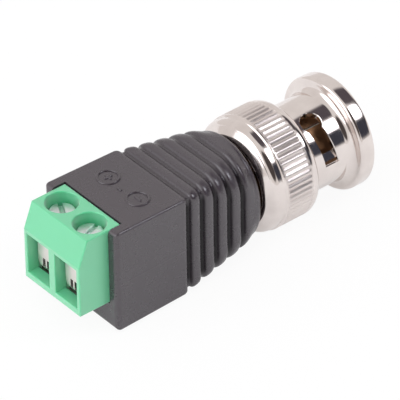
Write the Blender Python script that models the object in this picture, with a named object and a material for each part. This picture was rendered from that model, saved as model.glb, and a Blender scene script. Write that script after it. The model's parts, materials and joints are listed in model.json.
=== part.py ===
"""BNC plug to two-way screw terminal adapter.

The adapter lies along X: the terminal block's wire entries look towards -X and the plug's mouth towards +X. Pieces are
modelled from the moulded housing's back face, x = 0, along the plug's axis, y = z = 0, with the clamp screws on top.
One empty then moves them all so that the world's origin is the middle of the overall length. Lengths are in metres.
"""

import math

import bmesh
import bpy
from mathutils import Matrix, Vector

MM = 0.001

# Fits: the clear space left between two pieces
SEAT_GAP = 0.10 * MM
RUNNING_GAP = 0.12 * MM
CUT_MARGIN = 1.0 * MM
WELD_DISTANCE = 0.0001 * MM

# Fineness of round shapes
ROUND_STEPS = 36
SMALL_ROUND_STEPS = 20
SLEEVE_STEPS = 8
ROUTE_STEPS = 4
EDGE_STEPS = 3
BEND_STEPS = 4
TIP_STEPS = 5

# Terminal block
POLE_PITCH = 5.0 * MM
BLOCK_END_WALL = 0.55 * MM
WINDOW_WIDTH = 3.9 * MM
WINDOW_HEIGHT = 5.45 * MM
WINDOW_SILL = 0.9 * MM
BLOCK_HEIGHT = 10.18 * MM
BLOCK_OVERHANG = 4.2 * MM
BLOCK_SLOPE_RUN = 1.25 * MM
BLOCK_SLOPE_DROP = 3.33 * MM
BLOCK_TOP_LENGTH = 4.85 * MM
BLOCK_FOOT_LENGTH = 1.7 * MM
BLOCK_FOOT_DROP = 1.75 * MM
BLOCK_FLOOR = 0.5 * MM
BLOCK_EDGE_RADIUS = 0.12 * MM
CHAMBER_HEIGHT = 6.85 * MM
GUARD_SETBACK = 1.15 * MM
SCREW_HOLE_RADIUS = 1.95 * MM

# Contact frames, which are folded from tinned strip
FRAME_WALL = 0.4 * MM
FRAME_TOP_WALL = 0.8 * MM
TAIL_WIDTH = 1.0 * MM
TAIL_REACH = 2.2 * MM

# Clamp screws and the guards they press on
SCREW_DEPTH = 1.2 * MM
SCREW_HEAD_RADIUS = 1.55 * MM
SCREW_HEAD_HEIGHT = 1.1 * MM
SCREW_SHANK_RADIUS = 1.2 * MM
SCREW_SLOT_WIDTH = 0.5 * MM
SCREW_SLOT_DEPTH = 0.5 * MM
SCREW_DOME = 0.12 * MM
POSITIVE_SLOT_ANGLE = math.radians(62)
NEGATIVE_SLOT_ANGLE = math.radians(20)
GUARD_THICKNESS = 0.25 * MM
GUARD_WIDTH = 3.0 * MM
GUARD_OVERLAP = 0.3 * MM
GUARD_LENGTH = 5.0 * MM
GUARD_BEND_RADIUS = 0.45 * MM
GUARD_TIP_RADIUS = 1.1 * MM
GUARD_RIB_WIDTH = 0.3 * MM
GUARD_RIB_HEIGHT = 1.0 * MM
GUARD_RIB_DEPTH = 0.14 * MM
GUARD_RIB_SPACING = 0.75 * MM
CLAMP_RISE = 1.1 * MM

# Moulded housing
HOUSING_SIDE_WALL = 1.2 * MM
HOUSING_HEIGHT = 13.52 * MM
HOUSING_LENGTH = 22.0 * MM
SQUARE_CORNER = 0.3 * MM
FRONT_CORNER = 5.0 * MM
CORNER_GROWTH = 0.95
FRONT_STRAIGHT = 1.0 * MM
BACK_EDGE_RADIUS = 0.55 * MM
FRONT_LIP_RADIUS = 0.55 * MM
FRONT_BAND_LENGTH = 3.1 * MM
SQUARE_SETBACK = 0.9 * MM
GROOVE_COUNT = 5
GROOVE_PITCH = 2.0 * MM
GROOVE_WIDTH = 0.6 * MM
GROOVE_DEPTH = 0.5 * MM
RIB_ROUND_LENGTH = 0.32 * MM
RIB_ROUND_DROP = 0.12 * MM
CORNER_STEPS = 8
TAIL_SEAT_LENGTH = 1.6 * MM
CAVITY_WALL = 1.9 * MM

# Plug, from the pin outwards
PIN_RADIUS = 0.675 * MM
PIN_SHAFT_RADIUS = 0.8 * MM
PIN_COLLAR_RADIUS = 1.15 * MM
PIN_COLLAR_LENGTH = 0.6 * MM
PIN_TIP_LENGTH = 0.7 * MM
SOLDER_CUP_RADIUS = 1.0 * MM
SOLDER_CUP_BORE = 0.6 * MM
SOLDER_CUP_DEPTH = 1.8 * MM
DIELECTRIC_MOUTH_RADIUS = 2.45 * MM
DIELECTRIC_MOUTH_DEPTH = 5.3 * MM
DIELECTRIC_WALL = 0.95 * MM
CONTACT_WALL = 0.55 * MM
CONTACT_STEP = 0.5 * MM
CONTACT_TAIL_LENGTH = 2.2 * MM
CONTACT_FINGERS = 6
CONTACT_SLIT_WIDTH = 0.4 * MM
CONTACT_ROOT_LENGTH = 1.6 * MM
CONTACT_BEAD = 0.12 * MM
BODY_WALL = 0.55 * MM

# Plug body and what sits on it, from back to front
TAIL_LENGTH = 5.9 * MM
TAIL_TEETH = 32
TAIL_TOOTH_DEPTH = 0.15 * MM
TAIL_WALL = 1.55 * MM
BOSS_LENGTH = 1.2 * MM
BOSS_WALL = 0.75 * MM
COLLAR_STEP = 0.55 * MM
COLLAR_LENGTH = 1.0 * MM
NECK_GROOVE_DEPTH = 0.35 * MM
SHOULDER_STEP = 0.55 * MM
SHOULDER_LENGTH = 0.8 * MM
RING_THICKNESS = 0.4 * MM
RING_WIDTH = 0.85 * MM
RING_OPENING = math.radians(55)
WASHER_THICKNESS = 0.3 * MM
WAVE_THICKNESS = 0.2 * MM
WAVE_HEIGHT = 0.9 * MM
WAVE_COUNT = 3
GASKET_THICKNESS = 0.6 * MM
LUG_THICKNESS = 0.4 * MM
LUG_RING_WIDTH = 0.6 * MM
LUG_TAB_WIDTH = 1.6 * MM
LUG_TAB_LENGTH = 2.4 * MM

# Coupling nut
NUT_STANDOFF = 0.3 * MM
NUT_LENGTH = 15.7 * MM
NUT_BACK_RADIUS = 5.8 * MM
NUT_CHAMFER_LENGTH = 1.2 * MM
NUT_CHAMFER_DROP = 0.2 * MM
NUT_CHAMFER_ROUND = 0.15 * MM
NUT_WALL = 2.38 * MM
NUT_SLEEVE_WALL = 0.68 * MM
NUT_FLANGE_SETBACK = 0.65 * MM
NUT_FLANGE_THICKNESS = 1.45 * MM
KNURL_START = 2.5 * MM
KNURL_LENGTH = 3.6 * MM
KNURL_TEETH = 60
KNURL_DEPTH = 0.17 * MM
KNURL_RUNOUT = 0.2 * MM
NUT_GRIP_LENGTH = 6.4 * MM
SHOULDER_FALL = 1.6 * MM
SHOULDER_ROUND = 0.7
RIM_LENGTH = 2.1 * MM
RIM_STEP = 1.6 * MM
RIM_ROUND = 0.45 * MM
RIM_FILLET = 1.0 * MM
MOUTH_DEPTH = 2.8 * MM
CAM_STUD_WIDTH = 2.3 * MM
CAM_SLOT_WIDTH = 1.85 * MM
CAM_SLOT_SETBACK = 5.65 * MM
CAM_DETENT_SETBACK = 6.0 * MM
CAM_DETENT_RADIUS = 1.35 * MM
CAM_DETENT_ANGLE = math.radians(65)
CAM_SLOT_END_ANGLE = math.radians(5)
CAM_RAMP_LEAD = math.radians(4)
CAM_ENTRY_ANGLE = math.radians(-52)
CAM_SKIN = 0.2 * MM
CAM_COUNT = 2
CAM_STEPS = 14

# Leads inside the housing
LEAD_RADIUS = 0.35 * MM
SLEEVE_WALL = 0.25 * MM
LEAD_OVERLAP = 0.7 * MM

# Terminal block, worked out
BLOCK_WIDTH = POLE_PITCH + WINDOW_WIDTH + 2 * BLOCK_END_WALL
BLOCK_TOP_Z = HOUSING_HEIGHT / 2
BLOCK_BOTTOM_Z = BLOCK_TOP_Z - BLOCK_HEIGHT
BLOCK_FACE_X = -BLOCK_OVERHANG
BLOCK_TOP_BACK_X = BLOCK_FACE_X + BLOCK_SLOPE_RUN + BLOCK_TOP_LENGTH
BLOCK_BACK_X = BLOCK_TOP_BACK_X + BLOCK_FOOT_LENGTH
BLOCK_FOOT_TOP_Z = BLOCK_TOP_Z - BLOCK_FOOT_DROP
WINDOW_FLOOR_Z = BLOCK_BOTTOM_Z + WINDOW_SILL
WINDOW_TOP_Z = WINDOW_FLOOR_Z + WINDOW_HEIGHT
CHAMBER_FLOOR_Z = BLOCK_BOTTOM_Z + BLOCK_FLOOR
CHAMBER_TOP_Z = CHAMBER_FLOOR_Z + CHAMBER_HEIGHT
GUARD_X = BLOCK_FACE_X + GUARD_SETBACK
GUARD_BACK_X = GUARD_X + GUARD_THICKNESS + SEAT_GAP
SCREW_X = BLOCK_FACE_X + BLOCK_SLOPE_RUN + BLOCK_TOP_LENGTH / 2
POLE_POSITIVE_Y = POLE_PITCH / 2
POLE_NEGATIVE_Y = -POLE_PITCH / 2

# Contact frame, worked out
FRAME_WIDTH = WINDOW_WIDTH - 2 * SEAT_GAP
FRAME_BOTTOM_Z = CHAMBER_FLOOR_Z + SEAT_GAP
FRAME_TOP_Z = CHAMBER_TOP_Z - SEAT_GAP
FRAME_FRONT_X = GUARD_BACK_X + SEAT_GAP
FRAME_BACK_X = BLOCK_BACK_X - SEAT_GAP
FRAME_FLOOR_Z = FRAME_BOTTOM_Z + FRAME_WALL
TAIL_END_X = FRAME_BACK_X + TAIL_REACH

# Clamp, worked out: the guard's foot lies under the screw's tip
GUARD_TOP_Z = WINDOW_TOP_Z + GUARD_OVERLAP
GUARD_SLOT_TOP_Z = GUARD_TOP_Z + CLAMP_RISE + SEAT_GAP
GUARD_FOOT_Z = GUARD_TOP_Z - GUARD_LENGTH
GUARD_FOOT_WIDTH = FRAME_WIDTH - 2 * FRAME_WALL - 2 * RUNNING_GAP
GUARD_FOOT_BACK_X = SCREW_X + SCREW_SHANK_RADIUS
SCREW_TOP_Z = BLOCK_TOP_Z - SCREW_DEPTH
SCREW_NECK_Z = SCREW_TOP_Z - SCREW_HEAD_HEIGHT
SCREW_TIP_Z = GUARD_FOOT_Z + GUARD_THICKNESS + SEAT_GAP

# Housing, worked out
HOUSING_HALF_WIDTH = BLOCK_WIDTH / 2 + SEAT_GAP + HOUSING_SIDE_WALL
HOUSING_HALF_HEIGHT = HOUSING_HEIGHT / 2
CAVITY_BACK_X = BLOCK_BACK_X + SEAT_GAP
LAST_GROOVE_X = HOUSING_LENGTH - FRONT_BAND_LENGTH
FIRST_GROOVE_X = LAST_GROOVE_X - (GROOVE_COUNT - 1) * GROOVE_PITCH
SQUARE_END_X = FIRST_GROOVE_X - SQUARE_SETBACK

# Plug radii, worked out from the pin outwards
DIELECTRIC_RADIUS = DIELECTRIC_MOUTH_RADIUS + DIELECTRIC_WALL
CONTACT_BORE_RADIUS = DIELECTRIC_RADIUS + SEAT_GAP
CONTACT_RADIUS = CONTACT_BORE_RADIUS + CONTACT_WALL
CONTACT_TAIL_RADIUS = CONTACT_RADIUS - CONTACT_STEP
CONTACT_TAIL_BORE = CONTACT_TAIL_RADIUS - CONTACT_WALL
DIELECTRIC_TAIL_RADIUS = CONTACT_TAIL_BORE - SEAT_GAP
BODY_FRONT_BORE = CONTACT_TAIL_RADIUS + SEAT_GAP
BODY_BORE = DIELECTRIC_TAIL_RADIUS
BUSH_RADIUS = BODY_BORE - SEAT_GAP
NECK_RADIUS = BODY_FRONT_BORE + BODY_WALL
COLLAR_RADIUS = NECK_RADIUS + COLLAR_STEP + SHOULDER_STEP / 2
SHOULDER_RADIUS = NECK_RADIUS + SHOULDER_STEP
TAIL_RADIUS = BODY_BORE + TAIL_WALL
BOSS_RADIUS = BODY_BORE + BOSS_WALL
NECK_GROOVE_RADIUS = NECK_RADIUS - NECK_GROOVE_DEPTH
WASHER_INNER_RADIUS = NECK_RADIUS + RUNNING_GAP
WASHER_OUTER_RADIUS = SHOULDER_RADIUS
NUT_BORE_RADIUS = SHOULDER_RADIUS + RUNNING_GAP
NUT_SLEEVE_RADIUS = NUT_BORE_RADIUS + NUT_SLEEVE_WALL
NUT_GRIP_RADIUS = NUT_BORE_RADIUS + NUT_WALL
NUT_RIM_RADIUS = NUT_SLEEVE_RADIUS + RIM_STEP
RING_INNER_RADIUS = NECK_GROOVE_RADIUS + SEAT_GAP
RING_OUTER_RADIUS = RING_INNER_RADIUS + RING_WIDTH
NUT_RECESS_RADIUS = RING_OUTER_RADIUS + 4 * SEAT_GAP

# Plug stations along X, worked out from the housing's front forwards
NUT_BACK_X = HOUSING_LENGTH + NUT_STANDOFF
NUT_FRONT_X = NUT_BACK_X + NUT_LENGTH
NUT_FLANGE_BACK_X = NUT_BACK_X + NUT_FLANGE_SETBACK
NUT_FLANGE_FRONT_X = NUT_FLANGE_BACK_X + NUT_FLANGE_THICKNESS
THRUST_WASHER_X = NUT_FLANGE_FRONT_X + SEAT_GAP
WAVE_WASHER_X = THRUST_WASHER_X + WASHER_THICKNESS + SEAT_GAP
BACKING_WASHER_X = WAVE_WASHER_X + WAVE_HEIGHT + SEAT_GAP
SHOULDER_X = BACKING_WASHER_X + WASHER_THICKNESS + SEAT_GAP
SHOULDER_FRONT_X = SHOULDER_X + SHOULDER_LENGTH
GASKET_X = SHOULDER_FRONT_X + SEAT_GAP
CONTACT_FRONT_X = NUT_FRONT_X - MOUTH_DEPTH
CONTACT_TAIL_X = SHOULDER_FRONT_X - CONTACT_TAIL_LENGTH
RETAINING_RING_X = NUT_FLANGE_BACK_X - SEAT_GAP - RING_THICKNESS
COLLAR_FRONT_X = HOUSING_LENGTH
COLLAR_BACK_X = COLLAR_FRONT_X - COLLAR_LENGTH
TAIL_BACK_X = COLLAR_BACK_X - TAIL_LENGTH
CAVITY_END_X = TAIL_BACK_X - TAIL_SEAT_LENGTH
BOSS_BACK_X = TAIL_BACK_X - BOSS_LENGTH
PIN_COLLAR_X = COLLAR_FRONT_X
PIN_FRONT_X = CONTACT_FRONT_X - 2 * SEAT_GAP
SOLDER_CUP_X = BOSS_BACK_X - SOLDER_CUP_DEPTH
DIELECTRIC_FRONT_X = CONTACT_FRONT_X - 4 * SEAT_GAP
DIELECTRIC_FLOOR_X = DIELECTRIC_FRONT_X - DIELECTRIC_MOUTH_DEPTH
LUG_X = TAIL_BACK_X - SEAT_GAP - LUG_THICKNESS
LUG_INNER_RADIUS = BOSS_RADIUS + SEAT_GAP
LUG_OUTER_RADIUS = LUG_INNER_RADIUS + LUG_RING_WIDTH

# Middle of the overall length, where the world's origin is
MIDDLE_X = (BLOCK_FACE_X + NUT_FRONT_X) / 2


def clear_scene():
    """Removes whatever the scene holds."""
    for found in list(bpy.data.objects):
        bpy.data.objects.remove(found, do_unlink=True)


def make_material(name, color, roughness, metallic=0.0):
    """A plain finish from a linear colour."""
    material = bpy.data.materials.new(name)
    material.use_nodes = True
    shader = material.node_tree.nodes["Principled BSDF"]
    shader.inputs["Base Color"].default_value = (*color, 1.0)
    shader.inputs["Roughness"].default_value = roughness
    shader.inputs["Metallic"].default_value = metallic
    return material


def add_object(name, bm, material, parent, location=(0.0, 0.0, 0.0), sharp_angle=35):
    """Turns a bmesh into a named object with outward faces."""
    bmesh.ops.remove_doubles(bm, verts=bm.verts, dist=WELD_DISTANCE)
    bmesh.ops.recalc_face_normals(bm, faces=bm.faces)
    mesh = bpy.data.meshes.new(name)
    bm.to_mesh(mesh)
    bm.free()
    mesh.shade_smooth()
    mesh.set_sharp_from_angle(angle=math.radians(sharp_angle))
    mesh.materials.append(material)
    made = bpy.data.objects.new(name, mesh)
    made.location = location
    made.parent = parent
    bpy.context.scene.collection.objects.link(made)
    return made


def add_cutter(name, bm, parent, location=(0.0, 0.0, 0.0)):
    """An object that only cuts others, kept out of the render."""
    cutter = add_object(name, bm, FINISHES["cutter"], parent, location)
    cutter.hide_render = True
    cutter.display_type = "WIRE"
    return cutter


def cut(target, cutter, solver="EXACT"):
    """Cuts one object with another by a live Boolean."""
    boolean = target.modifiers.new(cutter.name, "BOOLEAN")
    boolean.operation = "DIFFERENCE"
    boolean.solver = solver
    boolean.object = cutter


def join(target, addition):
    """Joins another object's shape to the target by a live Boolean."""
    boolean = target.modifiers.new(addition.name, "BOOLEAN")
    boolean.operation = "UNION"
    boolean.solver = "EXACT"
    boolean.object = addition


def turn(profile, steps=ROUND_STEPS):
    """Spins a closed outline of (x, radius) points once round the X axis."""
    bm = bmesh.new()
    points = [bm.verts.new((x, 0.0, radius)) for x, radius in profile]
    edges = [bm.edges.new((points[i - 1], points[i])) for i in range(len(points))]
    bmesh.ops.spin(
        bm,
        geom=points + edges,
        cent=(0.0, 0.0, 0.0),
        axis=(1.0, 0.0, 0.0),
        dvec=(0.0, 0.0, 0.0),
        angle=2 * math.pi,
        steps=steps,
        use_merge=True,
        use_duplicate=False,
    )
    bmesh.ops.remove_doubles(bm, verts=bm.verts, dist=WELD_DISTANCE)
    bmesh.ops.dissolve_degenerate(bm, dist=WELD_DISTANCE, edges=bm.edges)
    wires = [edge for edge in bm.edges if not edge.link_faces]
    bmesh.ops.delete(bm, geom=wires, context="EDGES")
    return bm


def tube_profile(start, end, inner, outer):
    """Outline of a plain ring or tube."""
    return [(start, outer), (end, outer), (end, inner), (start, inner)]


def box(low, high):
    """A block between two corners."""
    bm = bmesh.new()
    size = Vector(high) - Vector(low)
    centre = (Vector(high) + Vector(low)) / 2
    place = Matrix.Translation(centre) @ Matrix.Diagonal((*size, 1.0))
    bmesh.ops.create_cube(bm, size=1.0, matrix=place)
    return bm


def cylinder(radius, low, high, steps=SMALL_ROUND_STEPS):
    """An upright round bar between two heights on the Z axis."""
    bm = bmesh.new()
    place = Matrix.Translation((0.0, 0.0, (low + high) / 2))
    bmesh.ops.create_cone(
        bm, cap_ends=True, segments=steps, radius1=radius, radius2=radius, depth=high - low, matrix=place
    )
    return bm


def extrude_along_y(outline, low, high):
    """A solid of an (x, z) outline between two places along Y."""
    bm = bmesh.new()
    face = bm.faces.new([bm.verts.new((x, low, z)) for x, z in outline])
    grown = bmesh.ops.extrude_face_region(bm, geom=[face])
    moved = [item for item in grown["geom"] if isinstance(item, bmesh.types.BMVert)]
    bmesh.ops.translate(bm, verts=moved, vec=(0.0, high - low, 0.0))
    return bm


def extrude_along_x(outline, low, high):
    """A solid of a (y, z) outline between two places along X."""
    bm = bmesh.new()
    face = bm.faces.new([bm.verts.new((low, y, z)) for y, z in outline])
    grown = bmesh.ops.extrude_face_region(bm, geom=[face])
    moved = [item for item in grown["geom"] if isinstance(item, bmesh.types.BMVert)]
    bmesh.ops.translate(bm, verts=moved, vec=(high - low, 0.0, 0.0))
    return bm


def skin(rings, closed_ends=True):
    """Joins rings of points, all of one count, into a closed surface."""
    bm = bmesh.new()
    loops = [[bm.verts.new(point) for point in ring] for ring in rings]
    for first, second in zip(loops, loops[1:]):
        for i in range(len(first)):
            bm.faces.new((first[i - 1], first[i], second[i], second[i - 1]))
    if closed_ends:
        bm.faces.new(loops[0])
        bm.faces.new(loops[-1])
    return bm


def rounded_rectangle(x, half_width, half_height, corner):
    """Points round a rounded rectangle across the X axis, each corner an arc."""
    points = []
    for quarter in range(4):
        turned = quarter * math.pi / 2
        side_y = 1 if quarter in (0, 3) else -1
        side_z = 1 if quarter in (0, 1) else -1
        centre_y = side_y * (half_width - corner)
        centre_z = side_z * (half_height - corner)
        for step in range(CORNER_STEPS + 1):
            angle = turned + step * math.pi / 2 / CORNER_STEPS
            points.append((x, centre_y + corner * math.cos(angle), centre_z + corner * math.sin(angle)))
    return points


def terminal_housing(parent):
    """The green block: an extruded profile with a window, a chamber and a screw hole at each pole."""
    outline = [
        (BLOCK_FACE_X, BLOCK_BOTTOM_Z),
        (BLOCK_FACE_X, BLOCK_TOP_Z - BLOCK_SLOPE_DROP),
        (BLOCK_FACE_X + BLOCK_SLOPE_RUN, BLOCK_TOP_Z),
        (BLOCK_TOP_BACK_X, BLOCK_TOP_Z),
        (BLOCK_TOP_BACK_X, BLOCK_FOOT_TOP_Z),
        (BLOCK_BACK_X, BLOCK_FOOT_TOP_Z),
        (BLOCK_BACK_X, BLOCK_BOTTOM_Z),
    ]
    bm = extrude_along_y(outline, -BLOCK_WIDTH / 2, BLOCK_WIDTH / 2)
    bmesh.ops.bevel(bm, geom=list(bm.edges), offset=BLOCK_EDGE_RADIUS, segments=1, affect="EDGES")
    block = add_object("terminal_housing", bm, FINISHES["green_plastic"], parent)
    for pole, pole_y in POLES.items():
        window = add_cutter(
            f"cutter_window_{pole}",
            box(
                (BLOCK_FACE_X - CUT_MARGIN, pole_y - WINDOW_WIDTH / 2, WINDOW_FLOOR_Z),
                (BLOCK_BACK_X + CUT_MARGIN, pole_y + WINDOW_WIDTH / 2, WINDOW_TOP_Z),
            ),
            parent,
        )
        chamber = add_cutter(
            f"cutter_chamber_{pole}",
            box(
                (GUARD_BACK_X, pole_y - WINDOW_WIDTH / 2, CHAMBER_FLOOR_Z),
                (BLOCK_BACK_X + 2 * CUT_MARGIN, pole_y + WINDOW_WIDTH / 2, CHAMBER_TOP_Z),
            ),
            parent,
        )
        guard_slot = add_cutter(
            f"cutter_guard_slot_{pole}",
            box(
                (GUARD_X - SEAT_GAP, pole_y - GUARD_WIDTH / 2 - SEAT_GAP, WINDOW_FLOOR_Z + CUT_MARGIN),
                (GUARD_BACK_X + CUT_MARGIN / 2, pole_y + GUARD_WIDTH / 2 + SEAT_GAP, GUARD_SLOT_TOP_Z),
            ),
            parent,
        )
        hole = add_cutter(
            f"cutter_screw_hole_{pole}",
            cylinder(SCREW_HOLE_RADIUS, CHAMBER_TOP_Z - CUT_MARGIN, BLOCK_TOP_Z + CUT_MARGIN, ROUND_STEPS),
            parent,
            (SCREW_X, pole_y, 0.0),
        )
        for cutter in (window, chamber, guard_slot, hole):
            cut(block, cutter)


def contact_frame(pole, pole_y, parent):
    """The tinned cage round the wire: a folded box that the screw threads into, with a solder tail."""
    half_width = FRAME_WIDTH / 2
    cage = add_object(
        f"contact_frame_{pole}",
        box((FRAME_FRONT_X, -half_width, FRAME_BOTTOM_Z), (FRAME_BACK_X, half_width, FRAME_TOP_Z)),
        FINISHES["tinned_brass"],
        parent,
        (0.0, pole_y, 0.0),
    )
    opening = add_cutter(
        f"cutter_frame_{pole}",
        box(
            (FRAME_FRONT_X - CUT_MARGIN, -half_width + FRAME_WALL, FRAME_FLOOR_Z),
            (FRAME_BACK_X + CUT_MARGIN, half_width - FRAME_WALL, FRAME_TOP_Z - FRAME_TOP_WALL),
        ),
        parent,
        (0.0, pole_y, 0.0),
    )
    thread = add_cutter(
        f"cutter_frame_thread_{pole}",
        cylinder(SCREW_SHANK_RADIUS + RUNNING_GAP, FRAME_FLOOR_Z + CUT_MARGIN, FRAME_TOP_Z + CUT_MARGIN),
        parent,
        (SCREW_X, pole_y, 0.0),
    )
    tail = add_cutter(
        f"tail_of_frame_{pole}",
        box(
            (FRAME_BACK_X - CUT_MARGIN, -TAIL_WIDTH / 2, FRAME_BOTTOM_Z),
            (TAIL_END_X, TAIL_WIDTH / 2, FRAME_FLOOR_Z),
        ),
        parent,
        (0.0, pole_y, 0.0),
    )
    cut(cage, opening)
    cut(cage, thread)
    join(cage, tail)


def clamp_screw(pole, pole_y, slot_angle, parent):
    """A slotted cheese-head screw, turned round Z from its tip to its domed head."""
    profile = [
        (SCREW_TIP_Z, 0.0),
        (SCREW_TIP_Z, SCREW_SHANK_RADIUS - SEAT_GAP),
        (SCREW_TIP_Z + SEAT_GAP, SCREW_SHANK_RADIUS),
        (SCREW_NECK_Z, SCREW_SHANK_RADIUS),
        (SCREW_NECK_Z, SCREW_HEAD_RADIUS),
        (SCREW_TOP_Z - SCREW_DOME, SCREW_HEAD_RADIUS),
        (SCREW_TOP_Z, SCREW_HEAD_RADIUS - 2 * SCREW_DOME),
        (SCREW_TOP_Z, 0.0),
    ]
    bm = turn(profile, SMALL_ROUND_STEPS)
    bmesh.ops.rotate(bm, verts=bm.verts, matrix=Matrix.Rotation(-math.pi / 2, 3, "Y"))
    screw = add_object(f"clamp_screw_{pole}", bm, FINISHES["screw_steel"], parent, (SCREW_X, pole_y, 0.0))
    blade = box(
        (-SCREW_HEAD_RADIUS - CUT_MARGIN, -SCREW_SLOT_WIDTH / 2, SCREW_TOP_Z - SCREW_SLOT_DEPTH),
        (SCREW_HEAD_RADIUS + CUT_MARGIN, SCREW_SLOT_WIDTH / 2, SCREW_TOP_Z + CUT_MARGIN),
    )
    bmesh.ops.rotate(blade, verts=blade.verts, matrix=Matrix.Rotation(slot_angle, 3, "Z"))
    cut(screw, add_cutter(f"cutter_slot_{pole}", blade, parent, (SCREW_X, pole_y, 0.0)))


def wire_guard(pole, pole_y, parent):
    """The tinned leaf: a tongue in the window with two ribs, bent back into a foot under the screw."""
    front = GUARD_X
    bend = GUARD_BEND_RADIUS
    outer = []
    inner = []
    for step in range(BEND_STEPS + 1):
        angle = step * math.pi / 2 / BEND_STEPS
        centre = (front + bend, GUARD_FOOT_Z + bend)
        for points, radius in ((outer, bend), (inner, bend - GUARD_THICKNESS)):
            points.append((centre[0] - radius * math.cos(angle), centre[1] - radius * math.sin(angle)))
    outline = [(front, GUARD_TOP_Z)] + outer + [(GUARD_FOOT_BACK_X, GUARD_FOOT_Z)]
    outline += [(GUARD_FOOT_BACK_X, GUARD_FOOT_Z + GUARD_THICKNESS)] + inner[::-1]
    outline += [(front + GUARD_THICKNESS, GUARD_TOP_Z)]
    leaf = add_object(
        f"wire_guard_{pole}",
        extrude_along_y(outline, -GUARD_WIDTH / 2, GUARD_WIDTH / 2),
        FINISHES["tinned_leaf"],
        parent,
        (0.0, pole_y, 0.0),
    )
    for side in (-1, 1):
        narrow = box(
            (GUARD_BACK_X, GUARD_FOOT_WIDTH / 2, GUARD_FOOT_Z - CUT_MARGIN),
            (GUARD_FOOT_BACK_X + CUT_MARGIN, GUARD_WIDTH, GUARD_TOP_Z + CUT_MARGIN),
        )
        bmesh.ops.scale(narrow, verts=narrow.verts, vec=(1.0, side, 1.0))
        cut(leaf, add_cutter(f"cutter_foot_{pole}_{side + 1}", narrow, parent, (0.0, pole_y, 0.0)))
        tip = [(side * GUARD_WIDTH, GUARD_FOOT_Z - CUT_MARGIN)]
        for step in range(TIP_STEPS + 1):
            angle = step * math.pi / 2 / TIP_STEPS
            tip_y = GUARD_WIDTH / 2 - GUARD_TIP_RADIUS * (1 - math.cos(angle))
            tip.append((side * tip_y, GUARD_FOOT_Z + GUARD_TIP_RADIUS * (1 - math.sin(angle))))
        tip.insert(1, (side * GUARD_WIDTH, tip[1][1]))
        tip.append((tip[-1][0], GUARD_FOOT_Z - CUT_MARGIN))
        corner = extrude_along_x(tip, front - CUT_MARGIN, GUARD_BACK_X + CUT_MARGIN)
        cut(leaf, add_cutter(f"cutter_tip_{pole}_{side + 1}", corner, parent, (0.0, pole_y, 0.0)))
        rib_y = side * GUARD_RIB_SPACING / 2
        groove = box(
            (front - CUT_MARGIN, rib_y - GUARD_RIB_WIDTH / 2, GUARD_FOOT_Z + bend),
            (front + GUARD_RIB_DEPTH, rib_y + GUARD_RIB_WIDTH / 2, GUARD_FOOT_Z + bend + GUARD_RIB_HEIGHT),
        )
        cut(leaf, add_cutter(f"cutter_rib_{pole}_{side + 1}", groove, parent, (0.0, pole_y, 0.0)))


def corner_radius(x):
    """The housing's corner radius, which grows from the square part to the front."""
    growth_length = HOUSING_LENGTH - FRONT_STRAIGHT - SQUARE_END_X
    share = min(max((x - SQUARE_END_X) / growth_length, 0.0), 1.0)
    return SQUARE_CORNER + (FRONT_CORNER - SQUARE_CORNER) * share**CORNER_GROWTH


def housing_ring(x, inset):
    """The housing's outline at x, drawn in by an inset."""
    corner = max(corner_radius(x) - inset, SEAT_GAP)
    return rounded_rectangle(x, HOUSING_HALF_WIDTH - inset, HOUSING_HALF_HEIGHT - inset, corner)


def housing_stations():
    """(x, inset) from back to front: rounded back edge, ring grooves, rounded front lip."""
    stations = []
    for step in range(EDGE_STEPS + 1):
        angle = step * math.pi / 2 / EDGE_STEPS
        stations.append((BACK_EDGE_RADIUS * (1 - math.cos(angle)), BACK_EDGE_RADIUS * (1 - math.sin(angle))))
    stations.append((SQUARE_END_X, 0.0))
    half_groove = GROOVE_WIDTH / 2
    for groove in range(GROOVE_COUNT):
        centre = FIRST_GROOVE_X + groove * GROOVE_PITCH
        for side in (-1, 1):
            steps = [
                (centre + side * (half_groove + RIB_ROUND_LENGTH), 0.0),
                (centre + side * (half_groove + RIB_ROUND_LENGTH / 3), RIB_ROUND_DROP),
                (centre + side * half_groove, GROOVE_DEPTH),
            ]
            stations += steps if side < 0 else steps[::-1]
    for step in range(EDGE_STEPS + 1):
        angle = step * math.pi / 2 / EDGE_STEPS
        back = FRONT_LIP_RADIUS * (1 - math.sin(angle))
        stations.append((HOUSING_LENGTH - back, FRONT_LIP_RADIUS * (1 - math.cos(angle))))
    return stations


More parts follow.
